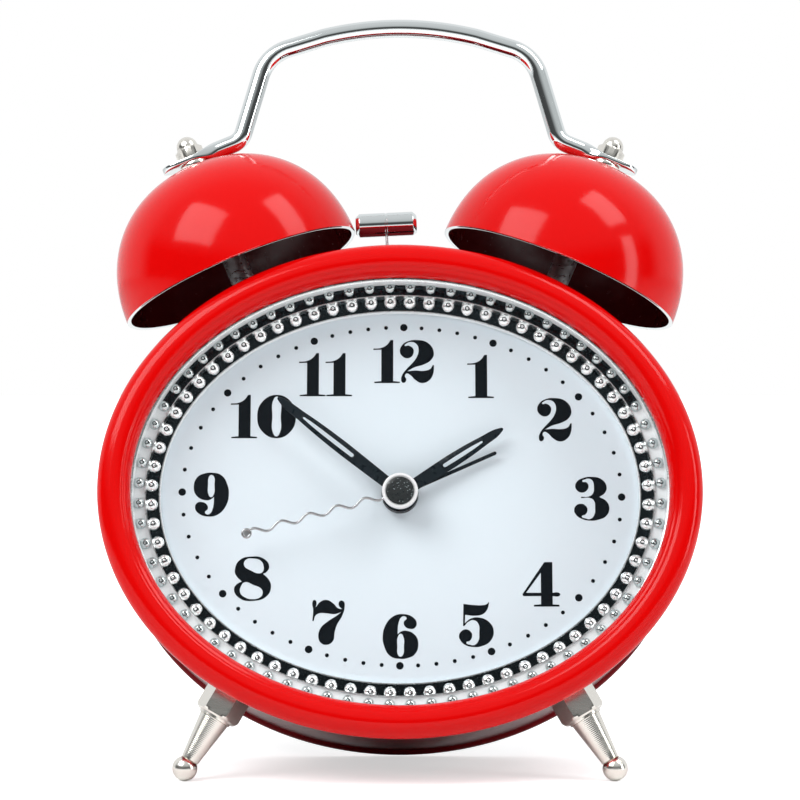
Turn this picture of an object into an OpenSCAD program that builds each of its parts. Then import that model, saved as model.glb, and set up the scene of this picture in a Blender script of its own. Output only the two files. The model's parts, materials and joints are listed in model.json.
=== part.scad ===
// Oval twin-bell quartz alarm clock, in millimetres.
// Every piece is drawn in the case frame: X to the right, Y into the case, Z up the dial,
// with Y = 0 at the widest line of the bezel and the hand arbor on the Y axis.
// stand() then leans the case back until both ball feet and the rear rim touch Z = 0.

/* [Bezel and lens] */
// Width of the bezel over its widest line
bezel_w = 127; // [110:1:150]
// Height of the bezel over its widest line
bezel_h = 105.2; // [92:0.2:126]
// Radius of the rounded bezel section
bezel_r = 3.5; // [3:0.1:4.2]
// Sheet thickness of the bezel
bezel_wall = 0.8; // [0.5:0.1:1]
// Thickness of the lens
lens_t = 1.5; // [1:0.1:2]
// How far the lens reaches under the bezel lip
lens_overlap = 1.9; // [1.2:0.1:2.2]

/* [Dial] */
// Depth of the dial face behind the widest line of the bezel
dial_y = 10.3; // [9.8:0.1:12]
// Thickness of the dial sheet
dial_t = 0.5; // [0.3:0.1:1]
// Depth of the outer bead shelf
outer_shelf_y = 6.6; // [5.5:0.1:7.2]
// Depth of the inner bead shelf
inner_shelf_y = 8.9; // [8:0.1:9.3]
// Width of the outer bead shelf
outer_shelf_w = 2.5; // [1.5:0.1:3]
// Width of the inner bead shelf
inner_shelf_w = 3.0; // [2:0.1:3.5]

/* [Case] */
// Depth of the drum behind the widest line of the bezel
case_depth = 44.2; // [42:0.2:56]
// Sheet thickness of the drum
drum_wall = 0.8; // [0.5:0.1:1.2]
// How far the drum sits inside the bezel outline
drum_inset = 1.6; // [1.2:0.1:2.2]
// How far the rolled rear rim stands out from the drum
rim_out = 0.9; // [0.5:0.1:1.4]
// Thickness of the rear cover
cover_t = 1.6; // [1.2:0.1:2.4]
// Thickness of the inner plate behind the dial
inner_plate_t = 1.5; // [1.2:0.1:2]

/* [Bells and handle] */
// Mouth radius of a bell
bell_r = 27.1; // [24:0.1:30]
// Height of a bell
bell_h = 27.2; // [24:0.1:30]
// Sheet thickness of a bell
bell_wall = 0.9; // [0.6:0.1:1.4]
// Distance from the middle of the clock to a bell's mouth centre
bell_x = 34.8; // [34:0.1:44]
// Height of a bell's mouth centre above the hand arbor
bell_z = 50.8; // [49.5:0.1:60]
// Depth of a bell's mouth centre
bell_y = 22; // [20:0.5:24]
// Outward tilt of a bell
bell_tilt = 22.7; // [18:0.1:26]
// Forward lean of the bells and the handle
bell_lean = 4.1; // [0:0.1:6]
// Diameter of the handle bar
handle_d = 4.0; // [3:0.1:5]
// Height of the handle's middle line above the bell mouths
handle_h = 57; // [50:0.5:75]

/* [Feet] */
// Depth of the feet
foot_y = 9.6; // [9.6:0.1:11]
// Length of the hexagon of a foot
foot_hex_l = 6.1; // [5:0.1:7]
// Distance across the flats of that hexagon
foot_hex_af = 8.5; // [7.5:0.1:8.8]
// Length of the tapered leg of a foot
foot_cone_l = 10.4; // [8:0.1:14]
// Radius of the ball of a foot
foot_ball_r = 2.65; // [2.2:0.05:3.2]

/* [Hands and hammer] */
// Length of the minute hand
minute_len = 33.2; // [26:0.1:36]
// Length of the hour hand
hour_len = 26.1; // [20:0.1:30]
// Length of the alarm hand
alarm_len = 22.5; // [16:0.1:26]
// Length of the second hand to the middle of its end disc
second_len = 33.5; // [26:0.1:36]
// Length of the hammer head
hammer_len = 13.5; // [10:0.1:14]
// Radius of the hammer head
hammer_r = 2.65; // [2:0.05:3.2]

/* [Hidden] */
$fn = 48;

// Clearances
fit = 0.1;
gap = 0.3;

// Half widths: every outline is an ellipse, and steps in from it by the same amount all round
bezel_a = bezel_w / 2;
bezel_b = bezel_h / 2;
bezel_back = 4.5;
lip_in = 2 * bezel_r;
drum_front = 3.0;
drum_in = drum_inset + drum_wall;
lens_front = 0.9;
lens_back = lens_front + lens_t;
gasket_w = 1.5;
gasket_t = 0.6;
ring_front = lens_back + gasket_t + 0.1;
ring_out = lip_in - 1.4;
ring_wall_in = lip_in + 0.1;
ring_mid_in = ring_wall_in + outer_shelf_w;
ring_edge_in = ring_mid_in + inner_shelf_w;
ring_back = dial_y - 0.05;
dial_in = lip_in - 0.5;
plate_front = dial_y + dial_t + 0.1;
plate_back = plate_front + inner_plate_t;
plate_in = drum_in + 0.5;
groove_w = 1.1;
cover_back = case_depth - 0.2;
cover_front = cover_back - cover_t;
cover_in = drum_in + 0.2;

// Movement box and battery bay
box = 56;
box_wall = 1.2;
box_front = plate_back + 0.1;
box_split = 18.5;
box_back = 26;
pillar = 24.8;
pillar_r = box / 2 - box_wall - pillar + 0.4;
cell_r = 7.25;
cell_l = 49.2;
cell_nub = 1.3;
cell_z = [-18, -34];
bay_x = 27.8;
bay_top = -10;
bay_bottom = -42;
bay_wall = 1.0;
bay_front = box_back + 0.4;
cell_y = bay_front + bay_wall + 0.3 + cell_r;
door_y = cover_back - 1.2;
door_lap = 0.8;

// Wheel train: pitch radii follow from the tooth counts and the centre distances
train_cd = 9.6;
function pitch(n, other, cd) = cd * n / (n + other);
time_cd = 10.08;
alarm_cd = 10.667;
rotor_cd = 9.333;
function polar(r, a) = [r * cos(a), r * sin(a)];
minute_at = polar(train_cd, 30);
third_at = polar(train_cd, 210);
inter_at = polar(train_cd, 150);
time_at = minute_at + polar(time_cd, 30);
alarm_at = polar(alarm_cd, 90);
rotor_at = inter_at + polar(rotor_cd, 160);

// Levels along the arbor, front to back
cap_y = 3.2;
second_y = 4.75;
minute_y = 5.8;
hour_y = 7.2;
alarm_y = 8.6;
alarm_lv = 14.2;
hour_lv = 15.5;
motion_lv = 16.7;
centre_lv = 17.9;
third_lv = 19.1;
second_lv = 20.4;
inter_lv = 21.7;
wheel_t = 0.7;
pivot_r = 0.5;
arbor_front = box_front + 0.4;
arbor_back = box_back - 0.4;

// Concentric arbors: outer radius of each, front face of each
second_r = 0.75;
minute_r = 1.35;
hour_r = 1.85;
alarm_r = 2.4;
bush_r = 3.0;

// Clock position of each hand, in degrees clockwise from twelve
minute_at_deg = 308.3;
hour_at_deg = 57.2;
second_at_deg = 254.6;
alarm_at_deg = 65.9;

// Hammer and motor
hammer_y = 21.2;
pivot_at = [-1.5, 31.2];
hammer_rest = -2.8;
hammer_reach = 31.9;
arm_r = 0.8;
motor_at = [14, 37];
throw = 1.5;
motor_front = 25;
motor_back = 40;
frame_t = 1.2;

// Bells
crown = 1.3;
tab_t = 1.2;
tab_half = 7;
collar_t = 1.25;
stud_r = 2.0;
post_r = 2.6;
tab_s = bell_h + collar_t;
bell_exp = 0.917;

// Case lean, from the two ball feet and the rear rim
foot_t = 234.9;
wall_a = bezel_a - drum_inset;
wall_b = bezel_b - drum_inset;
foot_wall = [wall_a * cos(foot_t), wall_b * sin(foot_t)];
foot_dir = atan2(sin(foot_t) / wall_b, cos(foot_t) / wall_a);
foot_l = foot_hex_l + foot_cone_l + foot_ball_r * 0.75;
ball_z = foot_wall[1] + foot_l * sin(foot_dir);
rim_z = -(wall_b + rim_out);
lean_run = case_depth - foot_y;
lean_rise = rim_z - ball_z;
lean = asin(foot_ball_r / norm([lean_run, lean_rise])) + atan2(lean_rise, lean_run);
lift = foot_ball_r + foot_y * sin(lean) - ball_z * cos(lean);
front_most = -(bezel_b - bezel_r) * sin(lean) - bezel_r;
rear_most = bell_y * cos(lean) + bell_z * sin(lean) + bell_r;
y_shift = -(front_most + rear_most) / 2;

// ---------- helpers ----------

module stand() {
    translate([0, y_shift, lift]) rotate([-lean, 0, 0]) children();
}

// Ellipse of the bezel's outline stepped in by d
module oval(d, n = 96) {
    polygon([for (i = [0:n - 1]) [(bezel_a - d) * cos(i * 360 / n), (bezel_b - d) * sin(i * 360 / n)]]);
}

// A drawing in X and Z given a thickness from y0 to y1
module slab(y0, y1) {
    rotate([90, 0, 0]) translate([0, 0, -y1]) linear_extrude(y1 - y0) children();
}

module oval_plate(d, y0, y1) {
    slab(y0, y1) oval(d);
}

module oval_ring(d_out, d_in, y0, y1) {
    slab(y0, y1) difference() {
        oval(d_out);
        oval(d_in);
    }
}

// Round bar parallel to Y at a point [x, z]
module rod(at, r, y0, y1) {
    translate([at[0], y0, at[1]]) rotate([-90, 0, 0]) cylinder(r = r, h = y1 - y0);
}

module tube_y(at, r, bore, y0, y1) {
    difference() {
        rod(at, r, y0, y1);
        rod(at, bore, y0 - 1, y1 + 1);
    }
}

module block(x0, x1, y0, y1, z0, z1) {
    translate([x0, y0, z0]) cube([x1 - x0, y1 - y0, z1 - z0]);
}

// Spur gear: short teeth whose tips end at the pitch circle
module gear(at, n, rp, y0, bore = 0) {
    depth = min(0.9, 1.6 * 2 * rp / n);
    tip = rp - 0.04;
    step = 360 / n;
    slab(y0, y0 + wheel_t) translate(at) difference() {
        polygon([for (i = [0:n - 1]) for (k = [0:3])
            (k == 1 || k == 2 ? tip : tip - depth) * [cos((i + [0, 0.2, 0.5, 0.7][k]) * step),
                                                      sin((i + [0, 0.2, 0.5, 0.7][k]) * step)]]);
        if (bore > 0) circle(r = bore);
    }
}

// Pieces drawn pointing to twelve o'clock, turned clockwise by deg
module clockwise(deg) {
    rotate([0, deg, 0]) children();
}

// Frame of the bells and the handle, through both mouth centres
module bell_plane() {
    translate([0, bell_y, bell_z]) rotate([bell_lean, 0, 0]) children();
}

// Frame of one bell: Z along its axis, zero at the mouth; side is -1 left, 1 right
module bell_frame(side) {
    bell_plane() translate([side * bell_x, 0, 0]) rotate([0, side * bell_tilt, 0]) children();
}

// Frame of one foot: Z along its axis, zero at the drum wall, pointing away from the case
module foot_frame(side) {
    translate([-side * foot_wall[0], foot_y, foot_wall[1]])
        rotate([0, 90 - (side > 0 ? -180 - foot_dir : foot_dir), 0]) children();
}

// ---------- bezel, lens, bead ring, dial ----------

// Section of the pressed bezel as [step inwards, depth], outer skin then inner skin
function half_round(r, a) = [bezel_r - r * cos(a), -r * sin(a)];
bezel_loop = concat(
    [[0.5, bezel_back]],
    [for (a = [0:20:180]) half_round(bezel_r, a)],
    [[lip_in, lens_front - 0.1], [lip_in - bezel_wall, lens_front - 0.1]],
    [for (a = [180:-20:0]) half_round(bezel_r - bezel_wall, a)],
    [[0.5 + bezel_wall, bezel_back]]
);

// Closed solid swept round the oval from a closed section
module oval_sweep(loop, n = 80) {
    m = len(loop);
    pts = [for (i = [0:n - 1]) for (p = loop)
        [(bezel_a - p[0]) * cos(i * 360 / n), p[1], (bezel_b - p[0]) * sin(i * 360 / n)]];
    faces = [for (i = [0:n - 1]) for (j = [0:m - 1])
        [i * m + j, i * m + (j + 1) % m, ((i + 1) % n) * m + (j + 1) % m, ((i + 1) % n) * m + j]];
    polyhedron(points = pts, faces = faces, convexity = 6);
}

module front_bezel() {
    color("red") stand() oval_sweep(bezel_loop);
}

module front_lens() {
    color([0.8, 0.9, 0.95, 0.3]) stand() oval_plate(lip_in - lens_overlap, lens_front, lens_back);
}

module lens_gasket() {
    color("black") stand()
        oval_ring(lip_in - lens_overlap, lip_in - lens_overlap + gasket_w, lens_back + 0.02,
                  lens_back + gasket_t);
}

module bead_ring() {
    color("silver") stand() {
        oval_ring(ring_out, ring_wall_in, ring_front, ring_back);
        oval_ring(ring_wall_in - 0.1, ring_mid_in, outer_shelf_y, ring_back);
        oval_ring(ring_mid_in - 0.1, ring_edge_in, inner_shelf_y, ring_back);
    }
}

module dial_plate() {
    color("white") stand() difference() {
        oval_plate(dial_in, dial_y, dial_y + dial_t);
        rod([0, 0], bush_r + fit, dial_y - 1, dial_y + dial_t + 1);
    }
}

// ---------- inner plate, drum, rear cover ----------

screw_at = [[50, 18], [-50, 18], [50, -18], [-50, -18]];
boss_r = 3;
screw_r = 1.3;

module each_screw() {
    for (p = screw_at) translate([p[0], 0, p[1]]) children();
}

module inner_plate() {
    color("dimgray") stand() difference() {
        union() {
            oval_plate(plate_in, plate_front, plate_back);
            each_screw() rod([0, 0], boss_r, plate_back - 0.5, cover_front - 0.05);
        }
        rod([0, 0], bush_r + fit, 0, plate_back + 1);
        each_screw() rod([0, 0], screw_r, cover_front - 12, cover_front + 1);
        for (x = [-pillar, pillar]) for (z = [-pillar, pillar])
            rod([x, z], 1.0, plate_front - 1, plate_back + 1);
        for (side = [-1, 1])
            foot_frame(side) translate([0, 0, -8]) cylinder(r = 4, h = 8);
    }
}

module drum_holes() {
    for (side = [-1, 1]) {
        bell_frame(side) translate([0, 0, -20]) cylinder(r = stud_r + fit, h = 20);
        foot_frame(side) translate([0, 0, -4]) cylinder(r = 1.5 + fit, h = 8);
    }
    // slot for the hammer arm
    translate([-5.2, hammer_y, 40]) cylinder(r = 1.6, h = 20);
    translate([6.2, hammer_y, 40]) cylinder(r = 1.6, h = 20);
    block(-5.2, 6.2, hammer_y - 1.6, hammer_y + 1.6, 40, 60);
}

module case_drum() {
    color("darkred") stand() difference() {
        union() {
            oval_ring(drum_inset, drum_in, drum_front, case_depth);
            oval_ring(drum_inset - rim_out, drum_inset + 0.1, case_depth - 3, case_depth);
            oval_ring(drum_in - 0.1, drum_in + groove_w, plate_back + 0.05, plate_back + 0.65);
            oval_ring(drum_in - 0.1, drum_in + groove_w, cover_front - 0.65, cover_front - 0.05);
        }
        drum_holes();
    }
}

switch_at = [-22, 10];
switch_w = 4;
switch_travel = 5;
switch_h = 3;

module rear_cover() {
    color([0.12, 0.12, 0.12]) stand() difference() {
        union() {
            oval_plate(cover_in, cover_front, cover_back);
            block(-bay_x - bay_wall, bay_x + bay_wall, bay_front, cover_back,
                  bay_bottom - bay_wall, bay_top + bay_wall);
        }
        block(-bay_x, bay_x, bay_front + bay_wall, cover_back + 1, bay_bottom, bay_top);
        block(-bay_x - door_lap, bay_x + door_lap, door_y - 0.02, cover_back + 1,
              bay_bottom - door_lap, bay_top + door_lap);
        rod(time_at, 1.5 + fit, cover_front - 1, cover_back + 1);
        rod(alarm_at, 1.25 + fit, cover_front - 1, cover_back + 1);
        block(switch_at[0] - switch_w / 2 - switch_travel / 2 - fit,
              switch_at[0] + switch_w / 2 + switch_travel / 2 + fit,
              cover_front - 1, cover_back + 1,
              switch_at[1] - switch_h / 2 - fit, switch_at[1] + switch_h / 2 + fit);
        each_screw() rod([0, 0], screw_r + fit, cover_front - 1, cover_back + 1);
        each_screw() rod([0, 0], 2.7, cover_back - 0.8, cover_back + 1);
    }
}

module rear_screws() {
    color("silver") stand() each_screw() difference() {
        union() {
            rod([0, 0], screw_r, cover_front - 10, cover_back - 0.7);
            rod([0, 0], 2.5, cover_back - 0.78, cover_back + 0.1);
        }
        block(-1.8, 1.8, cover_back - 0.35, cover_back + 1, -0.3, 0.3);
        block(-0.3, 0.3, cover_back - 0.35, cover_back + 1, -1.8, 1.8);
    }
}

door_hinge = [cover_back - 0.6, bay_bottom - door_lap + 0.75];

module battery_door() {
    color([0.16, 0.16, 0.16]) stand() difference() {
        union() {
            block(-bay_x - door_lap + 0.2, bay_x + door_lap - 0.2, door_y + 0.02, cover_back,
                  door_hinge[1], bay_top + door_lap - 0.2);
            translate([-bay_x - door_lap + 0.2, door_hinge[0], door_hinge[1]])
                rotate([0, 90, 0]) cylinder(r = 0.55, h = 2 * (bay_x + door_lap - 0.2));
            block(-4, 4, door_y - 1.6, door_y + 0.1, bay_top - 0.9, bay_top - 0.1);
        }
        for (k = [0:4]) block(-6, 6, cover_back - 0.4, cover_back + 1,
                              bay_top - 6 + k * 1.2, bay_top - 5.4 + k * 1.2);
    }
}

module cell(z) {
    translate([-cell_l / 2 - 0.4, cell_y, z]) rotate([0, 90, 0]) {
        cylinder(r = cell_r, h = cell_l);
        translate([0, 0, cell_l - 0.1]) cylinder(r = 2.7, h = cell_nub + 0.1);
    }
}

module battery_upper() {
    color("goldenrod") stand() cell(cell_z[0]);
}

module battery_lower() {
    color("goldenrod") stand() mirror([1, 0, 0]) cell(cell_z[1]);
}

// Conical contact spring along X from x0 towards +X
module spring(x0, l, r0, r1, wire) {
    turns = 3;
    n = turns * 12;
    m = 6;
    pts = [for (i = [0:n]) let (a = i * 30, r = r0 + (r1 - r0) * i / n)
        for (k = [0:m - 1]) let (b = k * 60, q = r + wire * cos(b))
            [x0 + wire + (l - 2 * wire) * i / n + wire * sin(b), q * cos(a), q * sin(a)]];
    faces = concat([[for (k = [0:m - 1]) k]],
        [for (i = [0:n - 1]) for (k = [0:m - 1])
            [i * m + k, (i + 1) * m + k, (i + 1) * m + (k + 1) % m, i * m + (k + 1) % m]],
        [[for (k = [m - 1:-1:0]) n * m + k]]);
    polyhedron(points = pts, faces = faces, convexity = 8);
}

spring_l = bay_x - cell_l / 2 - 0.4 - 0.05;

module battery_springs() {
    color("silver") stand() {
        translate([0, cell_y, cell_z[0]]) spring(-bay_x + 0.02, spring_l, 4.5, 2.4, 0.35);
        mirror([1, 0, 0]) translate([0, cell_y, cell_z[1]])
            spring(-bay_x + 0.02, spring_l, 4.5, 2.4, 0.35);
    }
}

module battery_plates() {
    x1 = bay_x - 0.02;
    x0 = cell_l / 2 - 0.4 + cell_nub + 0.02;
    color("silver") stand() for (side = [0, 1]) mirror([side, 0, 0]) {
        block(x1 - 0.4, x1, cell_y - 4, cell_y + 4, cell_z[side] - 5, cell_z[side] + 5);
        translate([x0, cell_y, cell_z[side]]) rotate([0, 90, 0]) cylinder(r = 2.2, h = x1 - x0 - 0.2);
    }
}

// ---------- movement ----------

module pillars(r, y0, y1) {
    for (x = [-pillar, pillar]) for (z = [-pillar, pillar]) rod([x, z], r, y0, y1);
}

module box_shell(y0, y1, wall_y0, wall_y1) {
    difference() {
        block(-box / 2, box / 2, y0, y1, -box / 2, box / 2);
        block(-box / 2 + box_wall, box / 2 - box_wall, wall_y0, wall_y1,
              -box / 2 + box_wall, box / 2 - box_wall);
    }
}

module pivot_holes(y0, y1) {
    for (p = [minute_at, third_at, inter_at, rotor_at]) rod(p, pivot_r + 0.05, y0, y1);
    rod(time_at, 0.8 + 0.05, y0, y1);
    rod(alarm_at, 0.8 + 0.05, y0, y1);
}

module movement_front() {
    color("whitesmoke") stand() difference() {
        union() {
            box_shell(box_front, box_split, box_front + box_wall, box_split + 1);
            pillars(pillar_r, box_front, box_split);
            rod([0, 0], bush_r, dial_y - 0.5, box_front + 0.5);
        }
        rod([0, 0], alarm_r + fit, 0, box_front + box_wall + 1);
        pillars(1.1, box_front - 1, box_split + 1);
        pivot_holes(box_front - 1, box_front + box_wall + 1);
    }
}

module movement_back() {
    color("whitesmoke") stand() difference() {
        union() {
            box_shell(box_split + 0.02, box_back, box_split - 1, box_back - box_wall);
            pillars(pillar_r, box_split + 0.02, box_back);
        }
        pillars(1.1, box_split - 1, box_back + 1);
        pillars(2.1, box_back - 1.3, box_back + 1);
        rod([0, 0], second_r + fit, box_back - 2, box_back + 1);
        for (p = [minute_at, third_at, inter_at, rotor_at])
            rod(p, pivot_r + 0.05, box_back - 2, box_back + 1);
        rod(time_at, 1.5 + fit, box_back - 2, box_back + 1);
        rod(alarm_at, 1.25 + fit, box_back - 2, box_back + 1);
    }
}

module movement_screws() {
    color("silver") stand() {
        pillars(1.0, plate_front + 0.2, box_back - 0.5);
        pillars(1.9, box_back - 1.28, box_back - 0.1);
    }
}

module circuit_board() {
    color("darkgreen") stand() block(2, 22, 23.4, 24.4, -24, -12);
}

module quartz_crystal() {
    color("silver") stand() translate([6, 22.3, -15]) rotate([0, 90, 0]) cylinder(r = 1.05, h = 6);
}

coil_z = 19.5;
coil_y = 16.6;

module coil_winding() {
    color("peru") stand() translate([-23, coil_y, coil_z]) rotate([0, 90, 0]) difference() {
        cylinder(r = 2.6, h = 12);
        translate([0, 0, -1]) cylinder(r = 1.5, h = 14);
    }
}

module coil_bobbin() {
    color("white") stand() {
        block(-24, -23.05, coil_y - 2.7, coil_y + 2.7, coil_z - 3, coil_z + 3);
        block(-10.95, -10, coil_y - 2.7, coil_y + 2.7, coil_z - 3, coil_z + 3);
        translate([-23.5, coil_y, coil_z]) rotate([0, 90, 0]) cylinder(r = 1.45, h = 13);
    }
}

module stator() {
    color("gray") stand() difference() {
        block(-24, -11.6, 19.6, 20.3, 3.4, 22.4);
        rod(rotor_at, 3.3, 19, 21);
    }
}

module rotor() {
    color("dimgray") stand() {
        rod(rotor_at, 3.0, 19.2, 20.9);
        rod(rotor_at, pivot_r, arbor_front, arbor_back);
        gear(rotor_at, 8, pitch(8, 48, rotor_cd), inter_lv);
    }
}

module intermediate_wheel() {
    color("ivory") stand() {
        gear(inter_at, 48, pitch(48, 8, rotor_cd), inter_lv);
        gear(inter_at, 8, pitch(8, 40, train_cd), second_lv);
        rod(inter_at, pivot_r, arbor_front, arbor_back);
        rod(inter_at, 0.9, second_lv + wheel_t - 0.1, inter_lv + 0.1);
    }
}

module seconds_wheel() {
    color("ivory") stand() {
        gear([0, 0], 40, pitch(40, 8, train_cd), second_lv);
        gear([0, 0], 8, pitch(8, 64, train_cd), third_lv);
        rod([0, 0], second_r, cap_y + 0.5, box_back - 0.2);
    }
}

module third_wheel() {
    color("ivory") stand() {
        gear(third_at, 64, pitch(64, 8, train_cd), third_lv);
        gear(third_at, 8, pitch(8, 60, train_cd), centre_lv);
        rod(third_at, pivot_r, arbor_front, arbor_back);
        rod(third_at, 0.9, centre_lv + wheel_t - 0.1, third_lv + 0.1);
    }
}

module centre_wheel() {
    color("ivory") stand() difference() {
        union() {
            gear([0, 0], 60, pitch(60, 8, train_cd), centre_lv);
            gear([0, 0], 10, pitch(10, 30, train_cd), motion_lv);
            rod([0, 0], minute_r, minute_y - 0.5, centre_lv + wheel_t);
        }
        rod([0, 0], second_r + fit, 0, third_lv);
    }
}

module minute_wheel() {
    color("ivory") stand() {
        gear(minute_at, 30, pitch(30, 10, train_cd), motion_lv);
        gear(minute_at, 8, pitch(8, 32, train_cd), hour_lv);
        rod(minute_at, pivot_r, arbor_front, arbor_back);
        rod(minute_at, 0.9, hour_lv + wheel_t - 0.1, motion_lv + 0.1);
    }
}

module hour_wheel() {
    color("ivory") stand() difference() {
        union() {
            gear([0, 0], 32, pitch(32, 8, train_cd), hour_lv);
            rod([0, 0], hour_r, hour_y - 0.5, hour_lv + wheel_t);
        }
        rod([0, 0], minute_r + fit, 0, motion_lv);
    }
}

module alarm_wheel() {
    color("ivory") stand() difference() {
        union() {
            gear([0, 0], 30, pitch(30, 10, alarm_cd), alarm_lv);
            rod([0, 0], alarm_r, alarm_y - 0.4, alarm_lv + wheel_t);
        }
        rod([0, 0], hour_r + fit, 0, hour_lv);
    }
}

// Setting knob on its shaft, with a knurled rim
module knob(at, shaft_r, r, pinion_n, pinion_r, level) {
    front = cover_back + 0.6;
    rod(at, 0.8, arbor_front, level + 0.2);
    rod(at, shaft_r, level + wheel_t - 0.1, front + 0.2);
    gear(at, pinion_n, pinion_r, level);
    difference() {
        rod(at, r, front, front + 5);
        for (i = [0:17]) rod(at + polar(r + 0.25, i * 20), 0.7, front + 0.8, front + 6);
        rod(at, r * 0.6, front + 4.4, front + 6);
    }
}

module time_knob() {
    color("black") stand()
        knob(time_at, 1.5, 7, 12, pitch(12, 30, time_cd), motion_lv);
}

module alarm_knob() {
    color("black") stand()
        knob(alarm_at, 1.25, 6, 10, pitch(10, 30, alarm_cd), alarm_lv);
}

// ---------- hands ----------

// Pointed hand with an open slot; widths grow from the hub to the shoulder and close to the tip
module skeleton_hand(l, w_hub, w_max, shoulder, slot0, slot1, slot_w) {
    difference() {
        polygon([[-w_hub / 2, 0], [-w_max / 2, shoulder * l], [0, l], [w_max / 2, shoulder * l],
                 [w_hub / 2, 0]]);
        hull() {
            translate([0, slot0 * l]) circle(r = slot_w * 0.3, $fn = 16);
            translate([0, slot1 * l]) circle(r = slot_w * 0.25, $fn = 16);
            translate([0, (slot0 + 2 * slot1) * l / 3]) circle(r = slot_w * 0.5, $fn = 16);
        }
    }
}

module minute_hand() {
    color([0.05, 0.06, 0.1]) stand() clockwise(minute_at_deg) difference() {
        union() {
            slab(minute_y - 0.2, minute_y + 0.2)
                skeleton_hand(minute_len, 1.8, 2.9, 0.5, 0.38, 0.79, 0.75);
            rod([0, 0], 3.2, minute_y - 0.3, minute_y + 0.5);
        }
        rod([0, 0], minute_r + 0.02, minute_y - 0.6, minute_y + 1);
    }
}

module hour_hand() {
    color([0.05, 0.06, 0.1]) stand() clockwise(hour_at_deg) difference() {
        union() {
            slab(hour_y - 0.2, hour_y + 0.2)
                skeleton_hand(hour_len, 1.8, 3.0, 0.55, 0.42, 0.8, 0.8);
            rod([0, 0], 3.9, hour_y - 0.3, hour_y + 0.7);
        }
        rod([0, 0], hour_r + 0.02, hour_y - 0.6, hour_y + 1);
    }
}

module alarm_hand() {
    color([0.05, 0.06, 0.1]) stand() clockwise(alarm_at_deg) difference() {
        union() {
            block(-0.4, 0.4, alarm_y - 0.2, alarm_y + 0.2, 0, alarm_len - 0.4);
            rod([0, alarm_len - 0.4], 0.4, alarm_y - 0.2, alarm_y + 0.2);
            rod([0, 0], 3.9, alarm_y - 0.3, alarm_y + 0.9);
        }
        rod([0, 0], alarm_r + 0.02, alarm_y - 0.6, alarm_y + 2);
    }
}

wave_pitch = 6.1;
wave_amp = 0.65;
wire_r = 0.35;

module second_hand() {
    steps = 60;
    end = second_len - 1.0;
    color("silver") stand() clockwise(second_at_deg) {
        slab(second_y - 0.3, second_y + 0.3) {
            polygon(concat(
                [for (i = [0:steps]) let (s = 1 + (end - 1) * i / steps)
                    [wave_amp * sin(360 * s / wave_pitch) - wire_r, s]],
                [for (i = [steps:-1:0]) let (s = 1 + (end - 1) * i / steps)
                    [wave_amp * sin(360 * s / wave_pitch) + wire_r, s]]));
            translate([0, second_len]) circle(r = 1.15);
        }
        difference() {
            rod([0, 0], 1.9, second_y - 0.35, second_y + 0.35);
            rod([0, 0], second_r, second_y - 1, second_y + 1);
        }
    }
}

module hub_cap() {
    color("white") stand() difference() {
        rod([0, 0], 3.8, cap_y, second_y - 0.36);
        rod([0, 0], 3.0, cap_y - 1, cap_y + 0.35);
        rod([0, 0], second_r, cap_y + 0.5, second_y);
    }
}

module hub_inlay() {
    color("black") stand() rod([0, 0], 2.98, cap_y - 0.1, cap_y + 0.34);
}

// ---------- alarm works ----------

frame_y = motor_front - frame_t - 0.02;

module alarm_frame() {
    color("gainsboro") stand() difference() {
        union() {
            block(-14, 24, frame_y, frame_y + frame_t, 28.6, 41);
            rod([-11.5, 38], 2, plate_back + 0.02, frame_y + 0.1);
            rod([21.5, 31], 2, plate_back + 0.02, frame_y + 0.1);
        }
        rod(pivot_at, 1.0, frame_y - 1, motor_front + 1);
        rod(motor_at, 3.2, frame_y - 1, motor_front + 1);
    }
}

module alarm_motor() {
    color("silver") stand() difference() {
        union() {
            intersection() {
                rod(motor_at, 10, motor_front, motor_back);
                block(motor_at[0] - 10, motor_at[0] + 10, motor_front, motor_back,
                      motor_at[1] - 7.2, motor_at[1] + 7.2);
            }
            rod(motor_at, 3, motor_front - 1, motor_front + 0.1);
        }
        rod(motor_at, 1.1, motor_front - 2, motor_back - 3);
    }
}

arm_y0 = hammer_y - 1;
arm_y1 = hammer_y + 0.2;
crank = motor_at + [0, throw] - pivot_at;
crank_l = norm(motor_at - pivot_at);
crank_deg = atan2(crank[1], crank[0]);

module motor_eccentric() {
    color("white") stand() {
        rod(motor_at, 1.0, hammer_y + 0.9, motor_back - 4);
        rod(motor_at, 3.2, hammer_y + 0.9, hammer_y + 2.2);
        rod(motor_at + [0, throw], 0.8, hammer_y + 0.4, hammer_y + 1);
    }
}

module hammer_pivot() {
    color("silver") stand() rod(pivot_at, 1.0, plate_back + 0.02, motor_front - 0.05);
}

// Frame of the hammer arm: Z along the arm from the pivot
module arm_frame() {
    translate([pivot_at[0], 0, pivot_at[1]]) rotate([0, hammer_rest, 0]) children();
}

module hammer_arm() {
    color("silver") stand() difference() {
        union() {
            rod(pivot_at, 2.4, hammer_y - 2, hammer_y + 2);
            arm_frame() translate([0, hammer_y, 2]) cylinder(r = arm_r, h = hammer_reach - 2);
            slab(arm_y0, arm_y1) translate(pivot_at) rotate(crank_deg) difference() {
                translate([1, -1.6]) square([crank_l + 1.5, 3.2]);
                translate([crank_l - 2, -0.95]) square([4, 1.9]);
            }
        }
        rod(pivot_at, 1.0 + 0.05, hammer_y - 3, hammer_y + 3);
    }
}

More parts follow.
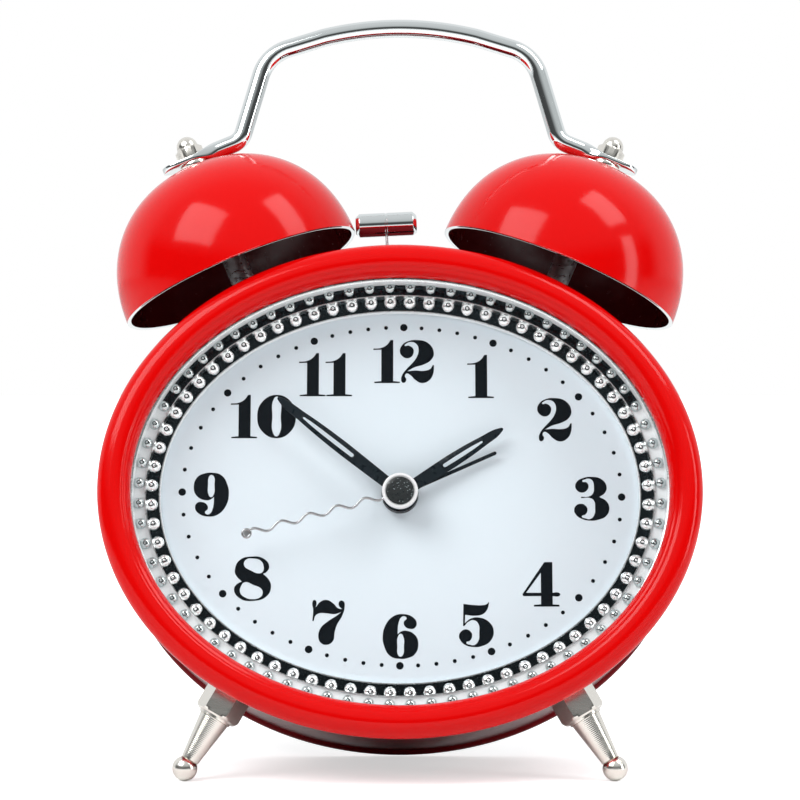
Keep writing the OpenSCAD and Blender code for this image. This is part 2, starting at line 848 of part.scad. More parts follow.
module hammer_head() {
    bevel = 0.9;
    color("silver") stand() arm_frame() translate([0, hammer_y, hammer_reach]) difference() {
        translate([-hammer_len / 2, 0, 0]) rotate([0, 90, 0]) rotate_extrude()
            polygon([[0, 0], [hammer_r - bevel, 0], [hammer_r, bevel],
                     [hammer_r, hammer_len / 2 - 0.2], [hammer_r - 0.2, hammer_len / 2],
                     [hammer_r, hammer_len / 2 + 0.2], [hammer_r, hammer_len - bevel],
                     [hammer_r - bevel, hammer_len], [0, hammer_len]]);
        translate([0, 0, -hammer_r - 1]) cylinder(r = arm_r, h = hammer_r + 1);
    }
}

module alarm_switch() {
    color("white") stand() {
        block(switch_at[0] - switch_w / 2 - switch_travel / 2, switch_at[0] + switch_w / 2 - switch_travel / 2,
              cover_front - 2, cover_back + 1.2,
              switch_at[1] - switch_h / 2, switch_at[1] + switch_h / 2);
        block(switch_at[0] - 6.5 - switch_travel / 2, switch_at[0] + 6.5 - switch_travel / 2,
              cover_front - 1.4, cover_front - 0.1, switch_at[1] - 3, switch_at[1] + 3);
    }
}

module switch_blades() {
    color("goldenrod") stand() for (x = [-5, 1.5])
        block(switch_at[0] + x, switch_at[0] + x + 3, box_back + 0.05, cover_front - 2.6,
              switch_at[1] - 0.2, switch_at[1] + 0.2);
}

// ---------- bells, posts, handle ----------

function bell_point(r, h, a) = [r * pow(cos(a), bell_exp), h * pow(sin(a), bell_exp)];

module bell() {
    n = 20;
    rotate_extrude($fn = 96) polygon(concat(
        [for (i = [0:n - 1]) bell_point(bell_r, bell_h, i * 90 / n)],
        [[stud_r + 0.05, bell_h], [stud_r + 0.05, bell_h - bell_wall]],
        [for (i = [n - 1:-1:0]) bell_point(bell_r - bell_wall, bell_h - bell_wall, i * 90 / n)]));
}

module bell_left() {
    color("red") stand() bell_frame(-1) bell();
}

module bell_right() {
    color("red") stand() bell_frame(1) bell();
}

// Distance below the mouth centre, along a bell's axis, at which the drum wall is met
drum_s = (bell_z - wall_b * sqrt(1 - pow((bell_x - 8 * sin(bell_tilt)) / wall_a, 2))) / cos(bell_tilt);

module bell_post(side) {
    bell_frame(side) {
        translate([0, 0, -drum_s - 5]) cylinder(r = stud_r, h = drum_s + 5 + tab_s + tab_t + 3.2);
        translate([0, 0, -drum_s + 1.3]) cylinder(r = post_r, h = drum_s - 1.3 + bell_h - bell_wall - 0.15);
    }
}

module bell_post_left() {
    color("silver") stand() bell_post(-1);
}

module bell_post_right() {
    color("silver") stand() bell_post(1);
}

module bell_collars() {
    color("silver") stand() for (side = [-1, 1]) bell_frame(side) difference() {
        translate([0, 0, bell_h + 0.02]) cylinder(r = 3.2, h = collar_t - 0.04);
        cylinder(r = stud_r + 0.02, h = 60);
    }
}

module post_nuts() {
    color("silver") stand() for (side = [-1, 1]) bell_frame(side) difference() {
        translate([0, 0, -drum_s - 4.6]) cylinder(r = 3.4, h = 2.4, $fn = 6);
        translate([0, 0, -drum_s - 10]) cylinder(r = stud_r + 0.02, h = 20);
    }
}

module acorn_nuts() {
    color("silver") stand() for (side = [-1, 1]) bell_frame(side)
        translate([0, 0, tab_s + tab_t + 0.02]) difference() {
            union() {
                rotate([0, 0, 30]) cylinder(r = 3.1, h = 2.3, $fn = 6);
                translate([0, 0, 2.2]) cylinder(r = 2.35, h = 1.0);
                translate([0, 0, 3.2]) sphere(r = 2.35);
            }
            translate([0, 0, -1]) cylinder(r = stud_r + 0.02, h = 4.3);
        }
}

// Corner replaced by an arc of radius r between the lines p-q and q-s
function corner(p, q, s, r, n) =
    let (u = (p - q) / norm(p - q), v = (s - q) / norm(s - q),
         half = acos(u * v) / 2, t = r / tan(half),
         c = q + (u + v) / norm(u + v) * r / sin(half),
         a0 = atan2((q + u * t - c)[1], (q + u * t - c)[0]),
         a1 = atan2((q + v * t - c)[1], (q + v * t - c)[0]),
         d = (a1 - a0 + 540) % 360 - 180)
    [for (i = [0:n]) c + r * [cos(a0 + d * i / n), sin(a0 + d * i / n)]];

// Middle line of the handle in the bell plane, from the left tab to the top centre
tab_dir = [cos(bell_tilt), sin(bell_tilt)];
bell_axis_top = [-bell_x, 0] + (tab_s + tab_t / 2) * [-sin(bell_tilt), cos(bell_tilt)];
leg_foot = bell_axis_top + 11.6 * tab_dir;
leg_top = [leg_foot[0] + 5.6, handle_h - 6.2];
half_line = concat(
    [bell_axis_top + 5.2 * tab_dir],
    corner(bell_axis_top, leg_foot, leg_top, 4, 6),
    corner(leg_foot, leg_top, [-20, handle_h - 2.9], 9, 8),
    [for (x = [-16:4:0]) [x, handle_h - x * x / 138]]
);
full_line = concat(half_line, [for (i = [len(half_line) - 2:-1:0]) [-half_line[i][0], half_line[i][1]]]);

// Round bar swept along a line in the X-Z plane
module bar(line, r, m = 12) {
    n = len(line);
    dir = [for (i = [0:n - 1]) let (a = line[max(i - 1, 0)], b = line[min(i + 1, n - 1)]) (b - a) / norm(b - a)];
    pts = [for (i = [0:n - 1]) for (k = [0:m - 1]) let (a = k * 360 / m)
        [line[i][0] - dir[i][1] * r * cos(a), -r * sin(a), line[i][1] + dir[i][0] * r * cos(a)]];
    faces = concat([[for (k = [0:m - 1]) k]],
        [for (i = [0:n - 2]) for (k = [0:m - 1])
            [i * m + k, (i + 1) * m + k, (i + 1) * m + (k + 1) % m, i * m + (k + 1) % m]],
        [[for (k = [m - 1:-1:0]) (n - 1) * m + k]]);
    polyhedron(points = pts, faces = faces, convexity = 8);
}

module handle() {
    color("silver") stand() {
        bell_plane() bar(full_line, handle_d / 2);
        for (side = [-1, 1]) bell_frame(side) difference() {
            translate([0, 0, tab_s]) linear_extrude(tab_t) hull() {
                translate([side * tab_half - side * 3.2, 0]) circle(r = 3.2, $fn = 32);
                translate([-side * 8, 0]) square([4, 5], center = true);
            }
            cylinder(r = stud_r + 0.05, h = 60);
        }
    }
}

// ---------- feet ----------

module foot(side) {
    foot_frame(side) {
        translate([0, 0, -3.4]) cylinder(r = 1.5, h = 4.2);
        translate([0, 0, 0.15]) rotate([0, 0, 30])
            cylinder(d = foot_hex_af / cos(30), h = foot_hex_l - 0.15, $fn = 6);
        translate([0, 0, foot_hex_l - 0.1]) cylinder(r1 = 3.25, r2 = 1.9, h = foot_cone_l + 0.1);
        translate([0, 0, foot_l]) sphere(r = foot_ball_r);
    }
}

module foot_left() {
    color("silver") stand() foot(-1);
}

module foot_right() {
    color("silver") stand() foot(1);
}

module foot_nuts() {
    color("silver") stand() for (side = [-1, 1]) foot_frame(side) difference() {
        translate([0, 0, -drum_wall - 2.4]) cylinder(r = 2.8, h = 2.1, $fn = 6);
        translate([0, 0, -8]) cylinder(r = 1.52, h = 12);
    }
}

// ---------- wires ----------

// Lead through hand-picked points, swept with eight sides
module lead(pts3, r = 0.45, m = 8) {
    n = len(pts3);
    dir = [for (i = [0:n - 1]) let (a = pts3[max(i - 1, 0)], b = pts3[min(i + 1, n - 1)]) (b - a) / norm(b - a)];
    side_dir = [for (d = dir) let (s = cross(d, abs(d[1]) < 0.8 ? [0, 1, 0] : [1, 0, 0])) s / norm(s)];
    pts = [for (i = [0:n - 1]) let (u = side_dir[i], v = cross(dir[i], u))
        for (k = [0:m - 1]) pts3[i] + r * (u * cos(k * 360 / m) + v * sin(k * 360 / m))];
    faces = concat([[for (k = [0:m - 1]) k]],
        [for (i = [0:n - 2]) for (k = [0:m - 1])
            [i * m + k, (i + 1) * m + k, (i + 1) * m + (k + 1) % m, i * m + (k + 1) % m]],
        [[for (k = [m - 1:-1:0]) (n - 1) * m + k]]);
    polyhedron(points = pts, faces = faces, convexity = 4);
}

module lead_wires() {
    color("crimson") stand() {
        lead([[32, 34, -20], [32, 34, -12], [32, 35, 0], [31, 36, 12], [29, 38, 24], [27, 40, 31],
              [24, 40.8, 34], [19, 41, 36]]);
        lead([[-32, 34, -20], [-32, 34, -12], [-31, 35, -2], [-29, 36, 6], [-27, 37, 12], [-26, 37.5, 16]]);
    }
}

front_bezel();
front_lens();
lens_gasket();
bead_ring();
dial_plate();
inner_plate();
case_drum();
rear_cover();
rear_screws();
battery_door();
battery_upper();
battery_lower();
battery_springs();
battery_plates();
movement_front();
movement_back();
movement_screws();
circuit_board();
quartz_crystal();
coil_winding();
coil_bobbin();
stator();
rotor();
intermediate_wheel();
seconds_wheel();
third_wheel();
centre_wheel();
minute_wheel();
hour_wheel();
alarm_wheel();
time_knob();
alarm_knob();
minute_hand();
hour_hand();
second_hand();
alarm_hand();
hub_cap();
hub_inlay();
alarm_frame();
alarm_motor();
motor_eccentric();
hammer_pivot();
hammer_arm();
hammer_head();
alarm_switch();
switch_blades();
bell_left();
bell_right();
bell_post_left();
bell_post_right();
bell_collars();
post_nuts();
acorn_nuts();
handle();
foot_left();
foot_right();
foot_nuts();
lead_wires();
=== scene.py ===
"""Looks of an oval twin-bell alarm clock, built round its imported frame.

Sizes are in millimetres in the case frame: X to the right, Y into the case, Z up the dial, with
Y = 0 at the widest line of the bezel and the hand arbor on the Y axis. CaseFrame turns them into
metres in the shared frame.
"""
import json
import logging
import math
from dataclasses import dataclass, field
from enum import Enum, IntEnum
from typing import Callable, Iterable, Sequence

import bmesh
import bpy
import numpy as np
from mathutils import Matrix, Vector


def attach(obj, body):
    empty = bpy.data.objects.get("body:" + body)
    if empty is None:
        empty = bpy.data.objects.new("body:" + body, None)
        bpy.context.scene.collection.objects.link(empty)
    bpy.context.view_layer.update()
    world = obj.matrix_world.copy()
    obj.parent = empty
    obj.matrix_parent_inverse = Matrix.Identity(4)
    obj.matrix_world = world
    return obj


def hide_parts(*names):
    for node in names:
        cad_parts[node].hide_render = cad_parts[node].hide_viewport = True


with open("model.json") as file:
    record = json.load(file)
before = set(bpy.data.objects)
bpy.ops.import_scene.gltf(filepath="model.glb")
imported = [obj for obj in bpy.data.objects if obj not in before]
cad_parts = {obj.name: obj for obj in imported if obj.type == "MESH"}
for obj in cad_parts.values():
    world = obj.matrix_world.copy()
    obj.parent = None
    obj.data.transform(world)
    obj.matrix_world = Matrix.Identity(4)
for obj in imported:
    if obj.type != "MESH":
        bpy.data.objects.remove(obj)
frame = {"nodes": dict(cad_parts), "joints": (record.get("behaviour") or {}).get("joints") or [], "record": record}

log = logging.getLogger("clock")
MM = 0.001
Point = tuple[float, float]
Loop = list[tuple]
Placer = Callable[[np.ndarray], np.ndarray]


# ---------- frame of the case ----------


class CaseFrame:
    """The case's own axes and origin, read from the joint that the minute hand turns on."""

    pivot_depth: float = 20.0

    def __init__(self, joints: list[dict]) -> None:
        """Finds the axes.

        Args:
            joints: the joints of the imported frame.
        """
        joint = next(j for j in joints if j["name"] == "minute_turn")
        self.y = np.array(joint["axis"], float)
        self.x = np.array([1.0, 0.0, 0.0])
        self.z = np.cross(self.x, self.y)
        self.origin = np.array(joint["pos_m"], float) - self.y * self.pivot_depth * MM

    def world(self, points: np.ndarray) -> np.ndarray:
        """Case millimetres to shared metres.

        Args:
            points: an n by 3 array in the case frame.

        Returns:
            The same points in the shared frame.
        """
        p = np.asarray(points, float) * MM
        return self.origin + p[:, :1] * self.x + p[:, 1:2] * self.y + p[:, 2:3] * self.z

    def local(self, points: np.ndarray) -> np.ndarray:
        """Shared metres to case millimetres, the reverse of world."""
        rel = (points - self.origin) / MM
        return np.stack([rel @ self.x, rel @ self.y, rel @ self.z], 1)

    def point(self, x: float, y: float, z: float) -> Vector:
        """One point of the case in the shared frame."""
        return Vector(self.world(np.array([[x, y, z]]))[0])


CASE = CaseFrame(frame["joints"])


def turned(points: np.ndarray, axis: int, degrees: float) -> np.ndarray:
    """Points turned about X, Y or Z by the right-hand rule.

    Args:
        points: an n by 3 array.
        axis: 0, 1 or 2.
        degrees: the angle.

    Returns:
        The turned points.
    """
    turn = Matrix.Rotation(math.radians(degrees), 3, "XYZ"[axis])
    return np.asarray(points, float) @ np.array(turn).T


def on_dial(depth: float) -> Placer:
    """Placer for a flat drawing in X and Y that faces the viewer.

    Args:
        depth: depth in the case of the drawing's zero level.

    Returns:
        A function from drawing points to case points.
    """
    return lambda p: np.stack([p[:, 0], depth - p[:, 2], p[:, 1]], 1)


def into_case(x: float = 0.0, z: float = 0.0, depth: float = 0.0) -> Placer:
    """Placer that stands a turned shape's axis along the depth of the case, at (x, z)."""
    return lambda p: np.stack([p[:, 0] + x, p[:, 2] + depth, z - p[:, 1]], 1)


# ---------- finishes ----------


class Grain(Enum):
    """Small surface relief of a finish."""

    SMOOTH = "smooth"
    ORANGE_PEEL = "orange peel"
    MOULDED = "moulded"
    SPARKLE = "sparkle"
    BRUSHED = "brushed"


@dataclass(frozen=True)
class Finish:
    """One finish of the clock.

    Attributes:
        name: material name.
        colour: base colour.
        metallic: 0 or 1.
        roughness: middle roughness.
        spread: how far the roughness varies.
        tint: how far the colour varies.
        grain: small surface relief.
        bump: height of the relief.
        scale: size of the pattern, in cycles per metre.
        coat: clear coat weight.
        alpha: cover, for glass.
        ior: index of refraction.
        specular: strength of the mirror part of a plastic or enamel.
    """

    name: str
    colour: tuple[float, float, float]
    metallic: float = 0.0
    roughness: float = 0.4
    spread: float = 0.06
    tint: float = 0.04
    grain: Grain = Grain.SMOOTH
    bump: float = 0.0
    scale: float = 400.0
    coat: float = 0.0
    alpha: float = 1.0
    ior: float = 1.45
    specular: float = 0.5

    def _pattern(self, tree: bpy.types.NodeTree) -> bpy.types.NodeSocket:
        """Height pattern of the grain.

        Args:
            tree: the material's node tree.

        Returns:
            The socket that gives the height from 0 to 1.
        """
        place = tree.nodes.new("ShaderNodeTexCoord")
        mapping = tree.nodes.new("ShaderNodeMapping")
        tree.links.new(place.outputs["Object"], mapping.inputs["Vector"])
        if self.grain is Grain.SPARKLE:
            cells = tree.nodes.new("ShaderNodeTexVoronoi")
            cells.inputs["Scale"].default_value = self.scale
            tree.links.new(mapping.outputs["Vector"], cells.inputs["Vector"])
            return cells.outputs["Distance"]
        if self.grain is Grain.BRUSHED:
            mapping.inputs["Scale"].default_value = (0.08, 1.0, 1.0)
        noise = tree.nodes.new("ShaderNodeTexNoise")
        noise.inputs["Scale"].default_value = self.scale
        noise.inputs["Detail"].default_value = 4.0 if self.grain is Grain.MOULDED else 2.0
        noise.inputs["Roughness"].default_value = 0.55
        tree.links.new(mapping.outputs["Vector"], noise.inputs["Vector"])
        return noise.outputs["Fac"]

    def material(self) -> bpy.types.Material:
        """The finish as a material, made once.

        Returns:
            The material.
        """
        name = self.name + "_finish"
        if name in bpy.data.materials:
            return bpy.data.materials[name]
        mat = bpy.data.materials.new(name)
        mat.use_nodes = True
        tree = mat.node_tree
        shader = tree.nodes["Principled BSDF"]
        for socket, value in (("Metallic", self.metallic), ("IOR", self.ior), ("Alpha", self.alpha),
                              ("Coat Weight", self.coat), ("Coat Roughness", 0.04),
                              ("Specular IOR Level", self.specular)):
            shader.inputs[socket].default_value = value
        height = self._pattern(tree)
        self._vary(tree, shader, height)
        if self.bump > 0:
            bump = tree.nodes.new("ShaderNodeBump")
            bump.inputs["Strength"].default_value = self.bump
            bump.inputs["Distance"].default_value = 0.1 * MM
            tree.links.new(height, bump.inputs["Height"])
            tree.links.new(bump.outputs["Normal"], shader.inputs["Normal"])
        mat.diffuse_color = (*self.colour, 1.0)
        return mat

    def _vary(self, tree: bpy.types.NodeTree, shader: bpy.types.Node, height: bpy.types.NodeSocket) -> None:
        """Varies colour and roughness with the grain.

        Args:
            tree: the material's node tree.
            shader: the Principled shader.
            height: the grain's height.
        """
        ramp = tree.nodes.new("ShaderNodeMapRange")
        ramp.inputs["From Min"].default_value = 0.3
        ramp.inputs["From Max"].default_value = 0.7
        ramp.inputs["To Min"].default_value = max(0.0, self.roughness - self.spread)
        ramp.inputs["To Max"].default_value = self.roughness + self.spread
        tree.links.new(height, ramp.inputs["Value"])
        tree.links.new(ramp.outputs["Result"], shader.inputs["Roughness"])
        colours = tree.nodes.new("ShaderNodeValToRGB")
        low = tuple(max(0.0, c * (1 - self.tint)) for c in self.colour)
        high = tuple(min(1.0, c * (1 + self.tint)) for c in self.colour)
        if self.grain is Grain.SPARKLE:
            colours.color_ramp.elements[0].position = 0.1
            colours.color_ramp.elements[1].position = 0.26
            low, high = (0.4, 0.45, 0.46), self.colour
        colours.color_ramp.elements[0].color = (*low, 1.0)
        colours.color_ramp.elements[1].color = (*high, 1.0)
        tree.links.new(height, colours.inputs["Fac"])
        tree.links.new(colours.outputs["Color"], shader.inputs["Base Color"])


RED = Finish("red_enamel", (0.64, 0.001, 0.001), roughness=0.13, spread=0.02, tint=0.02,
             grain=Grain.ORANGE_PEEL, bump=0.03, scale=900, specular=0.22)
# Red enamel of the drum: the same paint as the bezel, made far darker as painted shade, the case wall lying in
# shadow.
SHADED_CASE_RED = Finish("case_enamel_painted_shade", (0.16, 0.004, 0.007), roughness=0.22, spread=0.04, tint=0.04,
                  grain=Grain.ORANGE_PEEL, bump=0.04, scale=900, specular=0.1)
# Inside of the bells: the red enamel painted far darker, painted shade in the hollow.
SHADED_BELL_INSIDE = Finish("bell_inside_painted_shade", (0.07, 0.001, 0.002), roughness=0.22, spread=0.06, tint=0.15,
                     grain=Grain.ORANGE_PEEL, bump=0.06, scale=700, specular=0.3)
CHROME = Finish("mirror_chrome", (0.8, 0.85, 0.85), metallic=1, roughness=0.06, spread=0.02, tint=0.02,
                scale=300)
NICKEL = Finish("turned_nickel", (0.84, 0.82, 0.76), metallic=1, roughness=0.2, spread=0.05, tint=0.04,
                grain=Grain.BRUSHED, bump=0.03, scale=1500)
WAVED_WIRE = Finish("waved_wire", (0.5, 0.51, 0.52), metallic=1, roughness=0.16, spread=0.03, tint=0.03,
                    scale=600)
STEEL = Finish("zinc_steel", (0.62, 0.63, 0.64), metallic=1, roughness=0.32, spread=0.08, tint=0.06,
               grain=Grain.BRUSHED, bump=0.05, scale=1200)
PLATED = Finish("plated_bead", (0.95, 0.97, 0.97), metallic=1, roughness=0.27, spread=0.02, tint=0.01,
                scale=300)
# A white, non-metallic surface on the plated ring: painted pale reflection of bright surroundings in the plating.
PAINTED_PALE_REFLECTION = Finish("painted_pale_reflection", (0.93, 0.96, 0.97), roughness=0.3, spread=0.03, tint=0.01, scale=300)
# Near-black metal on the one bright plating: painted dark reflection, used round the bead pips and on the tray's
# shelves.
PAINTED_DARK_REFLECTION = Finish("painted_dark_reflection", (0.03, 0.04, 0.045), metallic=1, roughness=0.25, spread=0.05, tint=0.1,
                    scale=900)
# A greyer, darker copy of the bead plating for the outer row of beads: painted shade.
SHADED_GREY_PLATE = Finish("grey_plate_painted_shade", (0.6, 0.65, 0.65), metallic=1, roughness=0.18, spread=0.04, tint=0.05,
                    scale=900)
DIAL = Finish("dial_white", (0.78, 0.88, 0.94), roughness=0.5, spread=0.03, tint=0.02,
              grain=Grain.MOULDED, bump=0.015, scale=1500)
INK = Finish("dial_ink", (0.002, 0.005, 0.008), roughness=0.5, spread=0.05, tint=0.2, scale=900,
             specular=0.15)
HAND = Finish("hand_lacquer", (0.006, 0.012, 0.017), roughness=0.3, spread=0.05, tint=0.15,
              scale=900, specular=0.35)
CAP_WHITE = Finish("cap_white", (0.86, 0.87, 0.88), roughness=0.2, spread=0.03, tint=0.02, scale=600,
                   coat=0.4)
SPARKLE = Finish("cap_sparkle", (0.012, 0.016, 0.017), metallic=0.0, roughness=0.35, spread=0.15,
                 grain=Grain.SPARKLE, bump=0.1, scale=1700)
GLASS = Finish("clear_glass", (0.005, 0.005, 0.006), roughness=0.02, spread=0.01, tint=0.0, alpha=0.04,
               ior=1.5, scale=100)
RUBBER = Finish("seal_rubber", (0.02, 0.02, 0.02), roughness=0.8, grain=Grain.MOULDED, bump=0.2)
COVER = Finish("cover_plastic", (0.022, 0.022, 0.024), roughness=0.48, spread=0.08, tint=0.2,
               grain=Grain.MOULDED, bump=0.3, scale=2600)
KNOB = Finish("knob_plastic", (0.016, 0.016, 0.018), roughness=0.3, spread=0.06, tint=0.2,
              grain=Grain.MOULDED, bump=0.06, scale=1500)
GREY = Finish("frame_plastic", (0.24, 0.25, 0.26), roughness=0.45, grain=Grain.MOULDED, bump=0.1,
              scale=1500)
WHITE = Finish("box_plastic", (0.76, 0.76, 0.74), roughness=0.38, grain=Grain.MOULDED, bump=0.08,
               scale=1500)
IVORY = Finish("gear_plastic", (0.8, 0.75, 0.6), roughness=0.35, grain=Grain.MOULDED, bump=0.05,
               scale=1500)
BOARD = Finish("board_green", (0.02, 0.16, 0.06), roughness=0.4, tint=0.15, grain=Grain.MOULDED, bump=0.1)
COPPER = Finish("copper_wire", (0.72, 0.3, 0.14), metallic=1, roughness=0.3, grain=Grain.BRUSHED,
                bump=0.3, scale=2500)
BRASS = Finish("contact_brass", (0.8, 0.62, 0.28), metallic=1, roughness=0.3, grain=Grain.BRUSHED,
               bump=0.05, scale=1500)
SLEEVE = Finish("cell_sleeve", (0.55, 0.36, 0.06), metallic=1, roughness=0.3, grain=Grain.BRUSHED,
                bump=0.03, scale=800, coat=0.5)
MAGNET = Finish("magnet_dark", (0.08, 0.08, 0.085), metallic=1, roughness=0.5, grain=Grain.MOULDED,
                bump=0.2)
WIRE = Finish("wire_red", (0.5, 0.02, 0.02), roughness=0.4, grain=Grain.MOULDED, bump=0.05)
SLOT_FINISH = {
    "red_paint": RED, "case_paint": SHADED_CASE_RED, "clear_glass": GLASS, "seal_black": RUBBER,
    "plated_bead": PLATED, "dial_white": DIAL, "hand_black": HAND, "cap_white": CAP_WHITE,
    "cap_black": SPARKLE, "bright_chrome": CHROME, "nickel": NICKEL, "plain_steel": STEEL,
    "cover_black": COVER, "knob_black": KNOB, "frame_grey": GREY, "box_white": WHITE,
    "gear_ivory": IVORY, "board_green": BOARD, "copper_wire": COPPER, "contact_brass": BRASS,
    "contact_nickel": NICKEL, "cell_sleeve": SLEEVE, "motor_steel": STEEL, "magnet_dark": MAGNET,
    "wire_red": WIRE, "switch_white": WHITE,
}


# ---------- mesh tools ----------


@dataclass
class Shell:
    """Points in the case frame and faces, each with the index of its finish."""

    points: np.ndarray
    faces: list[Sequence[int]]
    marks: list[int] = field(default_factory=list)

    def placed(self, place: Placer) -> "Shell":
        """The shell with every point moved by a placer."""
        return Shell(place(self.points), self.faces, self.marks)


def joined(shells: Iterable[Shell]) -> Shell:
    """Several shells as one.

    Args:
        shells: the shells.

    Returns:
        One shell that holds them all.
    """
    points, faces, marks, base = [], [], [], 0
    for shell in shells:
        points.append(shell.points)
        faces += [[base + i for i in f] for f in shell.faces]
        marks += shell.marks or [0] * len(shell.faces)
        base += len(shell.points)
    return Shell(np.concatenate(points), faces, marks)


def added(name: str, data: bpy.types.ID) -> bpy.types.Object:
    """A new object in the scene that holds some data."""
    obj = bpy.data.objects.new(name, data)
    bpy.context.scene.collection.objects.link(obj)
    return obj


def evaluated(obj: bpy.types.Object) -> bpy.types.Mesh:
    """A new mesh with an object's modifiers or curve settings applied."""
    bpy.context.view_layer.update()
    return bpy.data.meshes.new_from_object(obj.evaluated_get(bpy.context.evaluated_depsgraph_get()))


def corners(mesh: bpy.types.Mesh) -> np.ndarray:
    """A mesh's own points as an n by 3 array."""
    points = np.empty(len(mesh.vertices) * 3)
    mesh.vertices.foreach_get("co", points)
    return points.reshape(-1, 3)


def round_angles(n: int) -> list[float]:
    """Equal steps round a circle, in radians."""
    return [2 * math.pi * k / n for k in range(n)]


def quads(rows: int, columns: int, closed: bool = False) -> list[list[int]]:
    """Faces between rows of points, each row a loop.

    Args:
        rows: number of loops.
        columns: points in a loop.
        closed: True where the last loop also meets the first.

    Returns:
        The faces.
    """
    return [[i * columns + k, i * columns + (k + 1) % columns,
             (i + 1) % rows * columns + (k + 1) % columns, (i + 1) % rows * columns + k]
            for i in range(rows if closed else rows - 1) for k in range(columns)]


def mesh_object(name: str, shell: Shell, finishes: Sequence[Finish],
                sharp: float = 32.0) -> bpy.types.Object:
    """A mesh object from a shell, in metres, smooth but for its sharp edges.

    Args:
        name: the piece's name.
        shell: points and faces in the case frame.
        finishes: the finish of each mark.
        sharp: angle in degrees above which an edge stays sharp.

    Returns:
        The object.
    """
    mesh = bpy.data.meshes.new(name)
    mesh.from_pydata(CASE.world(shell.points).tolist(), [], [list(f) for f in shell.faces])
    for finish in finishes:
        mesh.materials.append(finish.material())
    if shell.marks:
        mesh.polygons.foreach_set("material_index", shell.marks)
    work = bmesh.new()
    work.from_mesh(mesh)
    bmesh.ops.remove_doubles(work, verts=work.verts, dist=1e-7)
    bmesh.ops.recalc_face_normals(work, faces=work.faces)
    work.to_mesh(mesh)
    work.free()
    smooth(mesh, sharp)
    return evened(added(name, mesh))


def smooth(mesh: bpy.types.Mesh, sharp: float) -> None:
    """Smooth shading with edges above an angle kept sharp.

    Args:
        mesh: the mesh.
        sharp: the angle in degrees.
    """
    mesh.polygons.foreach_set("use_smooth", [True] * len(mesh.polygons))
    mesh.set_sharp_from_angle(angle=math.radians(sharp))
    mesh.update()


def evened(piece: bpy.types.Object) -> bpy.types.Object:
    """Weights a piece's normals by face size, so that small bevels don't bend the large faces.

    Args:
        piece: the piece.

    Returns:
        The piece with its new mesh.
    """
    modifier = piece.modifiers.new("even", "WEIGHTED_NORMAL")
    modifier.keep_sharp, modifier.weight = True, 80
    mesh = evaluated(piece)
    piece.modifiers.clear()
    piece.data = mesh
    return piece


def polar_solid(rings: Sequence[tuple[float, Callable[[float], float]]], n: int = 96,
                marks: Sequence[int] = ()) -> Shell:
    """Solid about Z from rings whose radius may change with the angle.

    Args:
        rings: (height, radius as a function of the angle) from one end to the other.
        n: points in a ring.
        marks: finish of each band between two rings.

    Returns:
        The closed shell; both ends close on the axis.
    """
    angles = round_angles(n)
    points = [[r(a) * math.cos(a), r(a) * math.sin(a), z] for z, r in rings for a in angles]
    last = len(rings) - 1
    points += [[0, 0, rings[0][0]], [0, 0, rings[last][0]]]
    low, high = len(points) - 2, len(points) - 1
    faces = quads(len(rings), n)
    bands = [marks[i] if marks else 0 for i in range(last) for _ in range(n)]
    faces += [[low, (k + 1) % n, k] for k in range(n)]
    faces += [[high, last * n + k, last * n + (k + 1) % n] for k in range(n)]
    return Shell(np.array(points, float), faces, bands + [0] * (2 * n))


def circle(r: float) -> Callable[[float], float]:
    """Radius of a round ring, the same at every angle."""
    return lambda a: r


def round_solid(profile: Sequence[Point], n: int = 64, marks: Sequence[int] = ()) -> Shell:
    """Turned solid about Z from (radius, height) points.

    Args:
        profile: the outline from one end of the axis to the other.
        n: points round.
        marks: finish of each band.

    Returns:
        The closed shell.
    """
    return polar_solid([(z, circle(r)) for r, z in profile], n, marks)


def round_ring(section: Sequence[Point], n: int = 128, marks: Sequence[int] = ()) -> Shell:
    """Closed section (radius, height) turned about Z.

    Args:
        section: the closed outline.
        n: points round.
        marks: finish of each band.

    Returns:
        The shell, a ring.
    """
    points = [[r * math.cos(a), r * math.sin(a), z] for a in round_angles(n) for r, z in section]
    return Shell(np.array(points, float), quads(n, len(section), True), list(marks) * n)


def swept(line: np.ndarray, half_width: Callable[[float], float], half_depth: Callable[[float], float],
          square: Callable[[float], float], m: int = 28) -> Shell:
    """Bar swept along a line in the X-Z plane, with a section that can change from round to flat.

    Args:
        line: n by 2 points (x, z).
        half_width: half size along Y, as a function of the place from 0 to 1.
        half_depth: half size in the plane of the line.
        square: exponent of the section, 2 for an ellipse and more for a flatter one.
        m: points in a section.

    Returns:
        The closed shell.
    """
    line = np.asarray(line, float)
    n = len(line)
    run = np.gradient(line, axis=0)
    run /= np.linalg.norm(run, axis=1)[:, None]
    points = []
    for i in range(n):
        s = i / (n - 1)
        w, d, e = half_width(s), half_depth(s), 2 / square(s)
        for a in round_angles(m):
            c, q = math.cos(a), math.sin(a)
            across = d * math.copysign(abs(c) ** e, c)
            points.append([line[i, 0] - run[i, 1] * across, w * math.copysign(abs(q) ** e, q),
                           line[i, 1] + run[i, 0] * across])
    faces = quads(n, m) + [list(range(m)), [(n - 1) * m + k for k in reversed(range(m))]]
    return Shell(np.array(points, float), faces)


def hexagon(across_flats: float, ceiling: float) -> Callable[[float], float]:
    """Radius of a hexagon by angle, cut down to a ceiling where a chamfer takes its corners.

    Args:
        across_flats: the hexagon's size.
        ceiling: largest radius.

    Returns:
        The radius as a function of the angle in radians.
    """
    def radius(a: float) -> float:
        """Distance of the hexagon's side at an angle, or the ceiling if that is less."""
        off = math.degrees(a) % 60 - 30
        return min(across_flats / 2 / math.cos(math.radians(off)), ceiling)
    return radius


